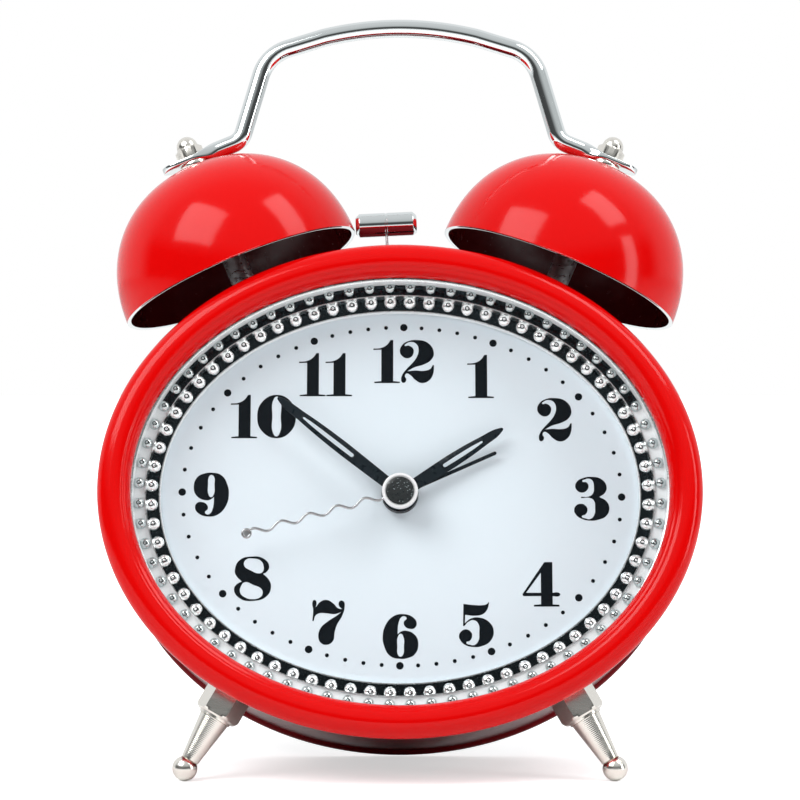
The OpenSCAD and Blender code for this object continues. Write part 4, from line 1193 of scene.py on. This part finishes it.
@dataclass
class Hands:
    """The four hands and the cap over them."""

    minute: tuple[float, float, float] = (33.2, 308.3, 5.8)
    hour: tuple[float, float, float] = (26.1, 57.2, 7.2)
    alarm: tuple[float, float, float] = (22.5, 65.9, 8.6)
    second: tuple[float, float, float] = (33.5, 254.6, 4.75)
    wave: float = 6.1
    amplitude: float = 0.65
    wire_r: float = 0.3
    bob_r: float = 1.15
    cap_y: float = 3.2
    cap_r: float = 3.8
    bores: tuple[float, float, float] = (1.3, 1.8, 2.35)

    @staticmethod
    def _clock(shell: Shell, degrees: float, depth: float) -> Shell:
        """Turns a shape that points up to a clock angle, at a depth."""
        return shell.placed(lambda p: on_dial(depth)(turned(p, 2, -degrees)))

    def _skeleton(self, size: tuple[float, float, float], hub: float, widest: float, at: float,
                  slot: tuple[float, float, float], start: float) -> Shell:
        """A pointed, open hand folded to a low ridge along its middle.

        Args:
            size: length, clock angle and depth.
            hub: width at the hub.
            widest: width at the shoulder.
            at: share of the length where it is widest.
            slot: start and end of the slot as shares of the length, and its width.
            start: distance from the arbor's axis at which the blade begins, inside the boss.

        Returns:
            The hand, placed.
        """
        length, degrees, depth = size
        a, b, w = slot[0] * length, slot[1] * length, slot[2]
        outer = [(-hub / 2, start, 1), (-widest / 2 * 0.98, at * length * 0.75), (-widest / 2, at * length),
                 (-widest * 0.37, length * 0.8), (-0.5, length - 0.7), (0, length),
                 (0.5, length - 0.7), (widest * 0.37, length * 0.8), (widest / 2, at * length),
                 (widest / 2 * 0.98, at * length * 0.75), (hub / 2, start, 1)]
        inner = [(0, a), (-w * 0.42, a + w * 0.25), (-w * 0.5, a + w), (-w * 0.3, b - w),
                 (0, b), (w * 0.3, b - w), (w * 0.5, a + w), (w * 0.42, a + w * 0.25)]
        shape = flat_shape("hand", [outer, inner], 0.4, 0.1, 8)
        fold = 0.22
        shape.points[:, 2] -= np.abs(shape.points[:, 0]) / (widest / 2) * fold * (shape.points[:, 2] > 0)
        return self._clock(shape, degrees, depth)

    @staticmethod
    def _hub(r: float, bore: float, front: float, back: float) -> Shell:
        """Round boss of a hand with a bore for its arbor, from one depth to another, with eased edges."""
        edge = 0.18
        return round_ring([(bore, front), (r - edge, front), (r, front + edge), (r, back - edge),
                           (r - edge, back), (bore, back)], 64).placed(into_case())

    def open_hands(self) -> None:
        """The minute hand and the hour hand."""
        long = joined([self._skeleton(self.minute, 2.5, 2.95, 0.5, (0.38, 0.79, 0.8), 1.9),
                       self._hub(3.2, self.bores[0], self.minute[2] - 0.3, self.minute[2] + 0.5)])
        settle(mesh_object("hand_minute", long, [HAND], 25), "minute_hand")
        short = joined([self._skeleton(self.hour, 2.5, 3.0, 0.52, (0.42, 0.8, 0.8), 2.4),
                        self._hub(3.9, self.bores[1], self.hour[2] - 0.3, self.hour[2] + 0.7)])
        settle(mesh_object("hand_hour", short, [HAND], 25), "hour_hand")

    def alarm_pointer(self) -> bpy.types.Object:
        """The plain bar with a round tip."""
        length, degrees, depth = self.alarm
        w = 0.38
        tip = [(w * math.cos(math.radians(a)), length - w + w * math.sin(math.radians(a)), 1)
               for a in range(0, 181, 20)]
        bar = flat_shape("bar", [[(w, 2.9, 1)] + tip + [(-w, 2.9, 1)]], 0.4, 0.08)
        boss = self._hub(3.9, self.bores[2], depth - 0.3, depth + 0.9)
        shell = joined([self._clock(bar, degrees, depth), boss])
        return settle(mesh_object("hand_alarm", shell, [HAND], 25), "alarm_hand")

    def second_wire(self) -> bpy.types.Object:
        """The waved wire that ends in a small bob."""
        length, degrees, depth = self.second
        s = np.linspace(1.0, length - self.bob_r + 0.2, 220)
        line = np.stack([self.amplitude * np.sin(2 * math.pi * s / self.wave), s], 1)
        wire = swept(line, lambda t: self.wire_r, lambda t: self.wire_r, lambda t: 2.0, 10)
        wire.points = wire.points[:, [0, 2, 1]]
        ring = round_ring([(self.bob_r - 0.32 + 0.32 * math.cos(a), 0.28 * math.sin(a))
                           for a in np.linspace(0, 2 * math.pi, 10, endpoint=False)], 40)
        dish = round_solid([(self.bob_r - 0.3, -0.1), (self.bob_r - 0.3, 0.1)], 40)
        bob = joined([ring, dish])
        bob.points = bob.points + np.array([0, length, 0])
        boss = self._hub(1.9, 0.4, depth - 0.35, depth + 0.35)
        shell = joined([self._clock(joined([wire, bob]), degrees, depth), boss])
        return settle(mesh_object("hand_second", shell, [WAVED_WIRE], 40), "second_hand")

    def cap(self) -> None:
        """The white ring over the hub and the sparkling disc in it."""
        y, r = self.cap_y, self.cap_r
        rim = 0.2
        section = [(2.99, y + 0.3), (3.3, y), (r - rim, y), (r - 0.06, y + 0.06), (r, y + rim), (r, y + 1.15),
                   (2.6, y + 1.15), (2.6, y + 0.4), (2.99, y + 0.4)]
        shell = round_ring(section, 72).placed(into_case())
        settle(mesh_object("cap_ring", shell, [CAP_WHITE], 40), "hub_cap")
        disc = round_solid([(2.2, y - 0.06), (2.8, y - 0.02), (2.96, y + 0.1), (2.96, y + 0.34)],
                           64).placed(into_case())
        settle(mesh_object("cap_disc", disc, [SPARKLE], 40), "hub_inlay")


# ---------- bells, handle and hammer ----------


@dataclass
class BellPair:
    """The bells with their collars and dome nuts, and the handle between them; the posts come as finished copies
    of their nodes.
    """

    r: float = 27.1
    h: float = 27.2
    wall: float = 0.9
    power: float = 0.917
    x: float = 34.8
    y: float = 22.0
    z: float = 50.8
    tilt: float = 22.7
    lean: float = 4.1
    stud_r: float = 2.0
    collar: float = 1.25
    tab: float = 1.2
    handle_r: float = 2.0
    handle_h: float = 56.96
    tab_half: float = 3.2
    tab_run: float = 13.0
    tab_fade: float = 6.0

    def _plane(self, p: np.ndarray) -> np.ndarray:
        """The plane of the bells to the case."""
        return turned(p, 0, self.lean) + np.array([0, self.y, self.z])

    def _bell(self, side: int) -> Placer:
        """Placer of one bell: Z along its axis from the middle of its mouth.

        Args:
            side: -1 for left, 1 for right.

        Returns:
            The placer.
        """
        return lambda p: self._plane(turned(p, 1, side * self.tilt) + np.array([side * self.x, 0, 0]))

    def _dome(self, inset: float) -> list[Point]:
        """Half outline of the bell from the mouth to near the crown, stepped in."""
        return [((self.r - inset) * math.cos(math.radians(a)) ** self.power,
                 (self.h - inset) * math.sin(math.radians(a)) ** self.power) for a in np.arange(0, 88.5, 2.0)]

    def bell(self, side: int) -> bpy.types.Object:
        """One bell: red outside, painted far darker inside as painted shade in its hollow, bare metal at its
        mouth.
        """
        outside, inside = self._dome(0.0), self._dome(self.wall)
        lip, bore = 0.18, self.stud_r + 0.06
        outside[0] = (self.r, lip)
        inside[0] = (self.r - self.wall, lip)
        section = outside + [(bore, self.h), (bore, self.h - self.wall)] + inside[::-1]
        section += [(self.r - self.wall * 0.75, 0.0), (self.r - self.wall * 0.25, 0.0)]
        # red outside, painted shade inside, bare metal at the mouth
        marks = [0] * (len(outside) + 1) + [1] * len(inside) + [2] * 3
        name = "left" if side < 0 else "right"
        shell = round_ring(section, 144, marks).placed(self._bell(side))
        piece = mesh_object("bell_shell_" + name, shell, [RED, SHADED_BELL_INSIDE, CHROME], 40)
        return settle(piece, "bell_" + name)

    def nuts(self) -> bpy.types.Object:
        """Dome nuts with a chamfered hexagon."""
        base = self.h + self.collar + self.tab + 0.02
        wide = 6.2 * math.cos(math.radians(30))
        dome_r, dome_base = 2.35, base + 2.6
        rings = [(base + rise, hexagon(wide, ceiling))
                 for rise, ceiling in ((0.0, 2.9), (0.22, 3.1), (1.95, 3.1), (2.3, 2.55))]
        rings += [(base + 2.33, circle(dome_r)), (dome_base, circle(dome_r))]
        rings += [(dome_base + dome_r * math.sin(a), circle(dome_r * math.cos(a)))
                  for a in map(math.radians, range(12, 85, 12))]
        both = joined([polar_solid(rings, 96).placed(self._bell(side)) for side in (-1, 1)])
        return settle(mesh_object("dome_nuts", both, [NICKEL], 30), "acorn_nuts")

    def collars(self) -> bpy.types.Object:
        """Small turned collars under the handle's ends."""
        lo, hi = self.h + 0.02, self.h + self.collar - 0.02
        section = [(2.05, lo), (3.05, lo), (3.2, lo + 0.2), (3.2, hi - 0.2), (3.05, hi), (2.05, hi)]
        both = joined([round_ring(section, 48).placed(self._bell(side)) for side in (-1, 1)])
        return settle(mesh_object("collars", both, [NICKEL], 40), "bell_collars")

    def _handle_line(self) -> np.ndarray:
        """Middle line of the handle in the plane of the bells, from left end to right end."""
        t = math.radians(self.tilt)
        along = np.array([math.cos(t), math.sin(t)])
        rise = np.array([-math.sin(t), math.cos(t)])
        top = np.array([-self.x, 0]) + (self.h + self.collar + self.tab / 2) * rise
        foot = top + 11.6 * along
        shoulder = np.array([foot[0] + 5.6, self.handle_h - 6.2])
        brow = np.array([-20.0, self.handle_h - 2.9])
        points = [top + d * along for d in (-7.0, -4.6, -2.2, 0.0, 2.5, 5.2)]
        points += self._arc(top, foot, shoulder, 4.0, 10)
        points += self._arc(foot, shoulder, brow, 9.0, 16)
        points += [np.array([x, self.handle_h - x * x / 138]) for x in np.arange(-17.0, 0.1, 1.0)]
        half = np.array(points)
        line = np.concatenate([half, (half * [-1, 1])[-2::-1]])
        run = np.concatenate([[0], np.cumsum(np.linalg.norm(np.diff(line, axis=0), axis=1))])
        even = np.linspace(0, run[-1], 420)
        return np.stack([np.interp(even, run, line[:, 0]), np.interp(even, run, line[:, 1])], 1)

    @staticmethod
    def _arc(p: np.ndarray, q: np.ndarray, s: np.ndarray, r: float, n: int) -> list[np.ndarray]:
        """Arc of radius r that rounds the corner q between p and s."""
        u, v = (p - q) / np.linalg.norm(p - q), (s - q) / np.linalg.norm(s - q)
        half = math.acos(float(u @ v)) / 2
        centre = q + (u + v) / np.linalg.norm(u + v) * r / math.sin(half)
        first, last = q + u * r / math.tan(half) - centre, q + v * r / math.tan(half) - centre
        a0, a1 = math.atan2(first[1], first[0]), math.atan2(last[1], last[0])
        turn = (a1 - a0 + 3 * math.pi) % (2 * math.pi) - math.pi
        return [centre + r * np.array([math.cos(a0 + turn * k / n), math.sin(a0 + turn * k / n)])
                for k in range(n + 1)]

    def handle(self) -> bpy.types.Object:
        """The bent bar, flattened at both ends."""
        line = self._handle_line()
        run = float(np.linalg.norm(np.diff(line, axis=0), axis=1).sum())
        end = self.tab_half

        def place(s: float) -> float:
            """Distance from the nearer end."""
            return min(s, 1 - s) * run

        def blend(s: float) -> float:
            """0 on the flat tab, 1 on the round bar."""
            t = min(1.0, max(0.0, (place(s) - self.tab_run) / self.tab_fade + 1))
            return t * t * (3 - 2 * t)

        def width(s: float) -> float:
            """Half width across the clock."""
            d = min(end, place(s) + 0.02)
            tip = end * math.sqrt(max(0.0, 1 - ((end - d) / end) ** 2))
            return tip + (self.handle_r - end) * blend(s)

        shell = swept(line, width, lambda s: self.tab / 2 + (self.handle_r - self.tab / 2) * blend(s),
                      lambda s: 7.0 - 5.0 * blend(s), 32).placed(self._plane)
        return settle(mesh_object("carrying_handle", shell, [CHROME], 50), "handle")


@dataclass
class Hammer:
    """Head and arm of the hammer."""

    pivot: Point = (-1.5, 31.2)
    depth: float = 21.2
    rest: float = -2.8
    reach: float = 31.9
    length: float = 13.5
    r: float = 2.65
    arm_shown: float = 14.0
    arm_thin: float = 0.3

    def head(self) -> bpy.types.Object:
        """The chromed head: bevelled ends and a fine groove where the arm enters."""
        h, r = self.length / 2, self.r
        half = [(r - 0.95, h), (r - 0.8, h - 0.05), (r - 0.1, h - 0.75), (r, h - 0.95), (r, 0.25),
                (r - 0.12, 0.12)]
        profile = [(q, -z) for q, z in half] + [(q, z) for q, z in half[::-1]]
        shell = round_solid(profile, 72)
        shell.points = turned(shell.points, 1, 90) + np.array([0, 0, self.reach])
        px, pz = self.pivot
        placed = shell.placed(lambda p: turned(p, 1, self.rest) + np.array([px, self.depth, pz]))
        return settle(mesh_object("hammer_head_bar", placed, [CHROME], 30), "hammer_head")

    def arm(self) -> bpy.types.Object:
        """The arm, drawn thin across the clock where it stands out of the case."""
        piece = refined("hammer_arm", SLOT_FINISH["plain_steel"], 0.0)
        pivot = np.array([self.pivot[0], self.depth, self.pivot[1]])
        local = turned(CASE.local(corners(piece.data)) - pivot, 1, -self.rest)
        local[local[:, 2] > self.arm_shown, 0] *= self.arm_thin
        placed = turned(local, 1, self.rest) + pivot
        piece.data.vertices.foreach_set("co", CASE.world(placed).ravel())
        piece.data.update()
        return piece


@dataclass
class Feet:
    """The two turned feet."""

    angle: float = 234.9
    step: float = 1.6
    depth: float = 9.6
    hex_l: float = 6.1
    hex_af: float = 8.5
    cone_l: float = 10.4
    cone_r: Point = (3.25, 1.9)
    ball_r: float = 2.65

    def _frame(self, side: int) -> Placer:
        """Placer of a foot: Z along its axis, zero at the wall of the drum.

        Args:
            side: -1 for left, 1 for right.

        Returns:
            The placer.
        """
        a, b = OVAL.half_w - self.step, OVAL.half_h - self.step
        t = math.radians(self.angle)
        wall = np.array([-side * a * math.cos(t), self.depth, b * math.sin(t)])
        down = math.degrees(math.atan2(math.sin(t) / b, math.cos(t) / a))
        turn = 90 - (-180 - down if side > 0 else down)
        return lambda p: turned(p, 1, turn) + wall

    def _one(self) -> Shell:
        """One foot about its own axis."""
        top, af = 0.15, self.hex_af
        corner = af / 2 / math.cos(math.radians(30))
        hexa = [(top, hexagon(af, corner)), (top + 0.05, hexagon(af, corner)),
                (self.hex_l - 1.1, hexagon(af, corner)), (self.hex_l - 0.75, hexagon(af, corner - 0.14)),
                (self.hex_l - 0.35, hexagon(af, corner - 0.42)), (self.hex_l, hexagon(af, corner - 0.85)),
                (self.hex_l + 0.02, hexagon(af, 3.6)), (self.hex_l + 0.5, circle(3.55)),
                (self.hex_l + 0.55, circle(3.2))]
        r0, r1 = self.cone_r
        steps = 104
        cone = []
        for k in range(steps + 1):
            s = k / steps
            wave = 0.018 * math.cos(2 * math.pi * k / 4) * min(1, 6 * (1 - s))
            z = self.hex_l + 0.6 + (self.cone_l - 0.6) * s
            cone.append((z, circle(r0 + (r1 - r0) * s + wave)))
        foot_l = self.hex_l + self.cone_l + self.ball_r * 0.75
        neck = [(self.hex_l + self.cone_l + 0.02, circle(r1 - 0.22))]
        ball = [(foot_l - self.ball_r * math.cos(a), circle(self.ball_r * math.sin(a)))
                for a in map(math.radians, range(46, 178, 7))]
        return polar_solid(hexa + cone + neck + ball, 96)

    def build(self) -> None:
        """Both feet."""
        for side, name in ((-1, "foot_left"), (1, "foot_right")):
            shell = joined([self._one(), round_solid([(1.5, -3.4), (1.5, 0.3)], 24)])
            settle(mesh_object(name + "_turned", shell.placed(self._frame(side)), [NICKEL], 26), name)


# ---------- the back ----------


@dataclass
class Back:
    """Setting knobs of the back, which also has the rear cover, battery door and screws."""

    time_at: Point = (17.043, 9.84)
    alarm_at: Point = (0.0, 10.667)
    teeth: int = 36

    def knob(self, node: str, at: Point, r: float) -> bpy.types.Object:
        """One setting knob: skirt, dished top and ribs round its edge.

        Args:
            node: the node that it stands for.
            at: place of its axis.
            r: outer radius.

        Returns:
            The knob.
        """
        hi = CASE.local(corners(frame["nodes"][node].data))[:, 1].max()
        rib_l = 3.4
        body = r - 0.35
        profile = [(1.2, hi - 5.0), (body - 0.2, hi - 5.0), (body, hi - 4.8), (body, hi - 0.5),
                   (body - 0.4, hi - 0.08), (body - 0.7, hi), (body * 0.7, hi), (body * 0.62, hi - 0.25),
                   (body * 0.55, hi - 0.6), (0.6, hi - 0.7)]
        rib = round_solid([(0.1, 0), (0.3, 0.3), (0.3, rib_l), (0.1, rib_l + 0.3)], 8)
        ribs = Repeat("ribs", rib, KNOB).ring(self.teeth, body)
        ribs.points = ribs.points + np.array([0, 0, hi - 0.55 - rib_l])
        outside = joined([round_solid(profile, 96), ribs]).placed(into_case(at[0], at[1]))
        shell = joined([outside, cut_node(node, hi - 4.9)])
        return settle(mesh_object(node + "_ribbed", shell, [KNOB], 32), node)


def cut_node(node: str, depth: float) -> Shell:
    """What lies in front of a depth of a node, closed where it is cut.

    Args:
        node: the node's name.
        depth: depth of the cut in the case frame.

    Returns:
        The shell in the case frame.
    """
    mesh = frame["nodes"][node].data.copy()
    mesh.vertices.foreach_set("co", CASE.local(corners(mesh)).ravel())
    work = bmesh.new()
    work.from_mesh(mesh)
    bmesh.ops.remove_doubles(work, verts=work.verts, dist=1e-4)
    geometry = work.verts[:] + work.edges[:] + work.faces[:]
    cut = bmesh.ops.bisect_plane(work, geom=geometry, plane_co=(0, depth, 0), plane_no=(0, 1, 0),
                                 clear_outer=True)
    rim = [e for e in cut["geom_cut"] if isinstance(e, bmesh.types.BMEdge)]
    bmesh.ops.holes_fill(work, edges=rim, sides=0)
    work.to_mesh(mesh)
    work.free()
    shell = mesh_shell(mesh)
    bpy.data.meshes.remove(mesh)
    return shell


def refined(node: str, finish: Finish, bevel: float = 0.12) -> bpy.types.Object:
    """A copy of a node with its edges eased and its round faces smooth.

    Args:
        node: the node's name.
        finish: its finish.
        bevel: width of the eased edges in millimetres.

    Returns:
        The copy, which stands for the node.
    """
    mesh = frame["nodes"][node].data.copy()
    mesh.name = node + "_finished"
    work = bmesh.new()
    work.from_mesh(mesh)
    bmesh.ops.remove_doubles(work, verts=work.verts, dist=2e-7)
    bmesh.ops.dissolve_limit(work, angle_limit=math.radians(0.6), verts=work.verts, edges=work.edges)
    edges = [e for e in work.edges if len(e.link_faces) == 2 and e.calc_face_angle(0) > math.radians(35)
             and e.calc_length() > 4 * bevel * MM]
    if bevel > 0 and edges:
        bmesh.ops.bevel(work, geom=edges, offset=bevel * MM, segments=2, affect="EDGES", profile=0.6,
                        clamp_overlap=True)
    work.to_mesh(mesh)
    work.free()
    mesh.materials.clear()
    mesh.materials.append(finish.material())
    smooth(mesh, 32.0)
    return settle(evened(added(node + "_finished", mesh)), node)


# ---------- studio ----------


@dataclass
class Studio:
    """Camera, lights, floor and surroundings."""

    distance: float = 614.0
    below: float = 12.3
    aim_depth: float = 7.5
    aim_rise: float = 19.94
    lens_mm: float = 130.3
    sensor_mm: float = 36.0

    def camera(self) -> None:
        """A long lens, a little below the line straight out of the dial."""
        t = math.radians(self.below)
        look = np.array([0, math.cos(t), math.sin(t)])
        up = np.array([0, -math.sin(t), math.cos(t)])
        at = np.array([0, self.aim_depth, 0]) + up * self.aim_rise
        eye = at - look * self.distance
        data = bpy.data.cameras.new("camera")
        data.lens, data.sensor_width = self.lens_mm, self.sensor_mm
        data.clip_start, data.clip_end = 0.05, 20.0
        camera = added("camera", data)
        start, end, head = CASE.point(*eye), CASE.point(*at), CASE.point(*(at + up))
        back = (start - end).normalized()
        rise = (head - end).normalized()
        side = rise.cross(back)
        turn = Matrix((side, rise, back)).transposed().to_4x4()
        camera.matrix_world = Matrix.Translation(start) @ turn
        bpy.context.scene.camera = camera

    @staticmethod
    def lamp(name: str, place: tuple, at: tuple, size: Point, power: float) -> None:
        """A soft rectangular lamp.

        Args:
            name: the lamp's name.
            place: where it stands, in metres.
            at: what it points at.
            size: its width and height in metres.
            power: watts.
        """
        data = bpy.data.lights.new(name, "AREA")
        data.shape, data.size, data.size_y, data.energy = "RECTANGLE", size[0], size[1], power
        lamp = added(name, data)
        lamp.location = place
        lamp.rotation_mode = "QUATERNION"
        lamp.rotation_quaternion = (Vector(at) - Vector(place)).to_track_quat("-Z", "Y")

    def lights(self) -> None:
        """Two large soft boxes in front and one above."""
        self.lamp("left_box", (-0.46, -0.42, 0.66), (0, 0, 0.09), (0.55, 0.5), 5.0)
        self.lamp("right_box", (0.46, -0.2, 0.76), (0, 0, 0.09), (0.3, 0.45), 2.4)
        self.lamp("side_box", (0.75, -0.3, 0.24), (0, 0, 0.09), (0.16, 0.5), 1.4)

    @staticmethod
    def surroundings() -> None:
        """A pale tent with a dark band in front, which shows as plain white behind the clock."""
        world = bpy.data.worlds.new("surroundings")
        bpy.context.scene.world = world
        world.use_nodes = True
        tree = world.node_tree
        room = tree.nodes["Background"]
        place = tree.nodes.new("ShaderNodeTexCoord")
        split = tree.nodes.new("ShaderNodeSeparateXYZ")
        tree.links.new(place.outputs["Generated"], split.inputs["Vector"])
        height = tree.nodes.new("ShaderNodeMapRange")
        height.inputs["From Min"].default_value = -1.0
        tree.links.new(split.outputs["Z"], height.inputs["Value"])
        ramp = tree.nodes.new("ShaderNodeValToRGB")
        stops = ramp.color_ramp.elements
        stops[0].position, stops[0].color = 0.0, (0.5, 0.5, 0.5, 1)
        stops[1].position, stops[1].color = 1.0, (0.7, 0.7, 0.71, 1)
        for at, tone in ((0.44, 0.42), (0.49, 0.06), (0.64, 0.07), (0.74, 0.55)):
            stops.new(at).color = (tone, tone * 1.02, tone * 1.03, 1)
        tree.links.new(height.outputs["Result"], ramp.inputs["Fac"])
        behind = tree.nodes.new("ShaderNodeMapRange")
        behind.inputs["From Min"].default_value, behind.inputs["From Max"].default_value = 0.0, 0.25
        tree.links.new(split.outputs["Y"], behind.inputs["Value"])
        sides = tree.nodes.new("ShaderNodeMix")
        sides.data_type = "RGBA"
        sides.inputs["B"].default_value = (0.85, 0.85, 0.86, 1)
        tree.links.new(behind.outputs["Result"], sides.inputs["Factor"])
        tree.links.new(ramp.outputs["Color"], sides.inputs["A"])
        tree.links.new(sides.outputs["Result"], room.inputs["Color"])
        paper = tree.nodes.new("ShaderNodeBackground")
        sight = tree.nodes.new("ShaderNodeLightPath")
        mix = tree.nodes.new("ShaderNodeMixShader")
        tree.links.new(sight.outputs["Is Camera Ray"], mix.inputs["Fac"])
        tree.links.new(room.outputs["Background"], mix.inputs[1])
        tree.links.new(paper.outputs["Background"], mix.inputs[2])
        tree.links.new(mix.outputs["Shader"], tree.nodes["World Output"].inputs["Surface"])
        paper.inputs["Color"].default_value = (1.0, 1.0, 1.0, 1.0)

    @staticmethod
    def floor() -> None:
        """A pale floor that glows for camera rays: a painted glow, weaker near the clock and full from 0.35 m out,
        so that the floor fades to white away from the clock.
        """
        half = 3.0
        square = [(-half, -half, 0), (half, -half, 0), (half, half, 0), (-half, half, 0)]
        mesh = bpy.data.meshes.new("floor")
        mesh.from_pydata(square, [], [(0, 1, 2, 3)])
        white = Finish("floor_white", (0.9, 0.9, 0.9), roughness=0.9, spread=0.02, tint=0.005,
                       scale=20).material()
        tree = white.node_tree
        shader = tree.nodes["Principled BSDF"]
        shader.inputs["Emission Color"].default_value = (1.0, 1.0, 1.0, 1.0)
        place = tree.nodes.new("ShaderNodeTexCoord")
        away = tree.nodes.new("ShaderNodeVectorMath")
        away.operation = "LENGTH"
        # Painted glow on the floor: emission from 0.55 near the clock to 1.0 from 0.35 m out, seen only by camera
        # rays.
        painted_glow_ramp = tree.nodes.new("ShaderNodeMapRange")
        painted_glow_ramp.inputs["From Min"].default_value, painted_glow_ramp.inputs["From Max"].default_value = 0.05, 0.35
        painted_glow_ramp.inputs["To Min"].default_value, painted_glow_ramp.inputs["To Max"].default_value = 0.55, 1.0
        sight = tree.nodes.new("ShaderNodeLightPath")
        painted_glow_for_camera = tree.nodes.new("ShaderNodeMath")
        painted_glow_for_camera.operation = "MULTIPLY"
        tree.links.new(place.outputs["Object"], away.inputs[0])
        tree.links.new(away.outputs["Value"], painted_glow_ramp.inputs["Value"])
        tree.links.new(painted_glow_ramp.outputs["Result"], painted_glow_for_camera.inputs[0])
        tree.links.new(sight.outputs["Is Camera Ray"], painted_glow_for_camera.inputs[1])
        tree.links.new(painted_glow_for_camera.outputs[0], shader.inputs["Emission Strength"])
        mesh.materials.append(white)
        added("floor", mesh)


# ---------- the whole clock ----------


def make_front() -> None:
    """Bezel, lens, bead ring, dial and hands."""
    front = Front()
    for piece in (front.bezel(), front.glass(), front.bead_ring(), Drum().build()):
        log.info("made %s", piece.name)
    dial = Dial()
    dial.plate()
    dial.print()
    hands = Hands()
    hands.open_hands()
    hands.alarm_pointer()
    hands.second_wire()
    hands.cap()
    log.info("made the dial and the hands")


def make_top() -> None:
    """Bells, nuts, collars, handle and hammer."""
    bells = BellPair()
    for side in (-1, 1):
        bells.bell(side)
    bells.nuts()
    bells.collars()
    bells.handle()
    hammer = Hammer()
    hammer.head()
    hammer.arm()
    log.info("made the bells, the handle and the hammer")


def make_rest() -> None:
    """Every node that has no piece yet gets a finished copy."""
    for part in frame["record"]["subparts"]:
        if part["node"] not in SETTLED:
            piece = refined(part["node"], SLOT_FINISH[part["material_slot"]])
            log.info("finished %s", piece.name)


def main() -> None:
    """Builds the clock and its studio."""
    logging.basicConfig(level=logging.INFO, format="%(name)s: %(message)s")
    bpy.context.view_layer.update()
    bpy.context.scene.view_settings.view_transform = "Standard"
    studio = Studio()
    studio.camera()
    studio.lights()
    studio.surroundings()
    studio.floor()
    make_front()
    make_top()
    Feet().build()
    back = Back()
    back.knob("time_knob", back.time_at, 7.0)
    back.knob("alarm_knob", back.alarm_at, 6.0)
    make_rest()


if __name__ == "__main__":
    main()
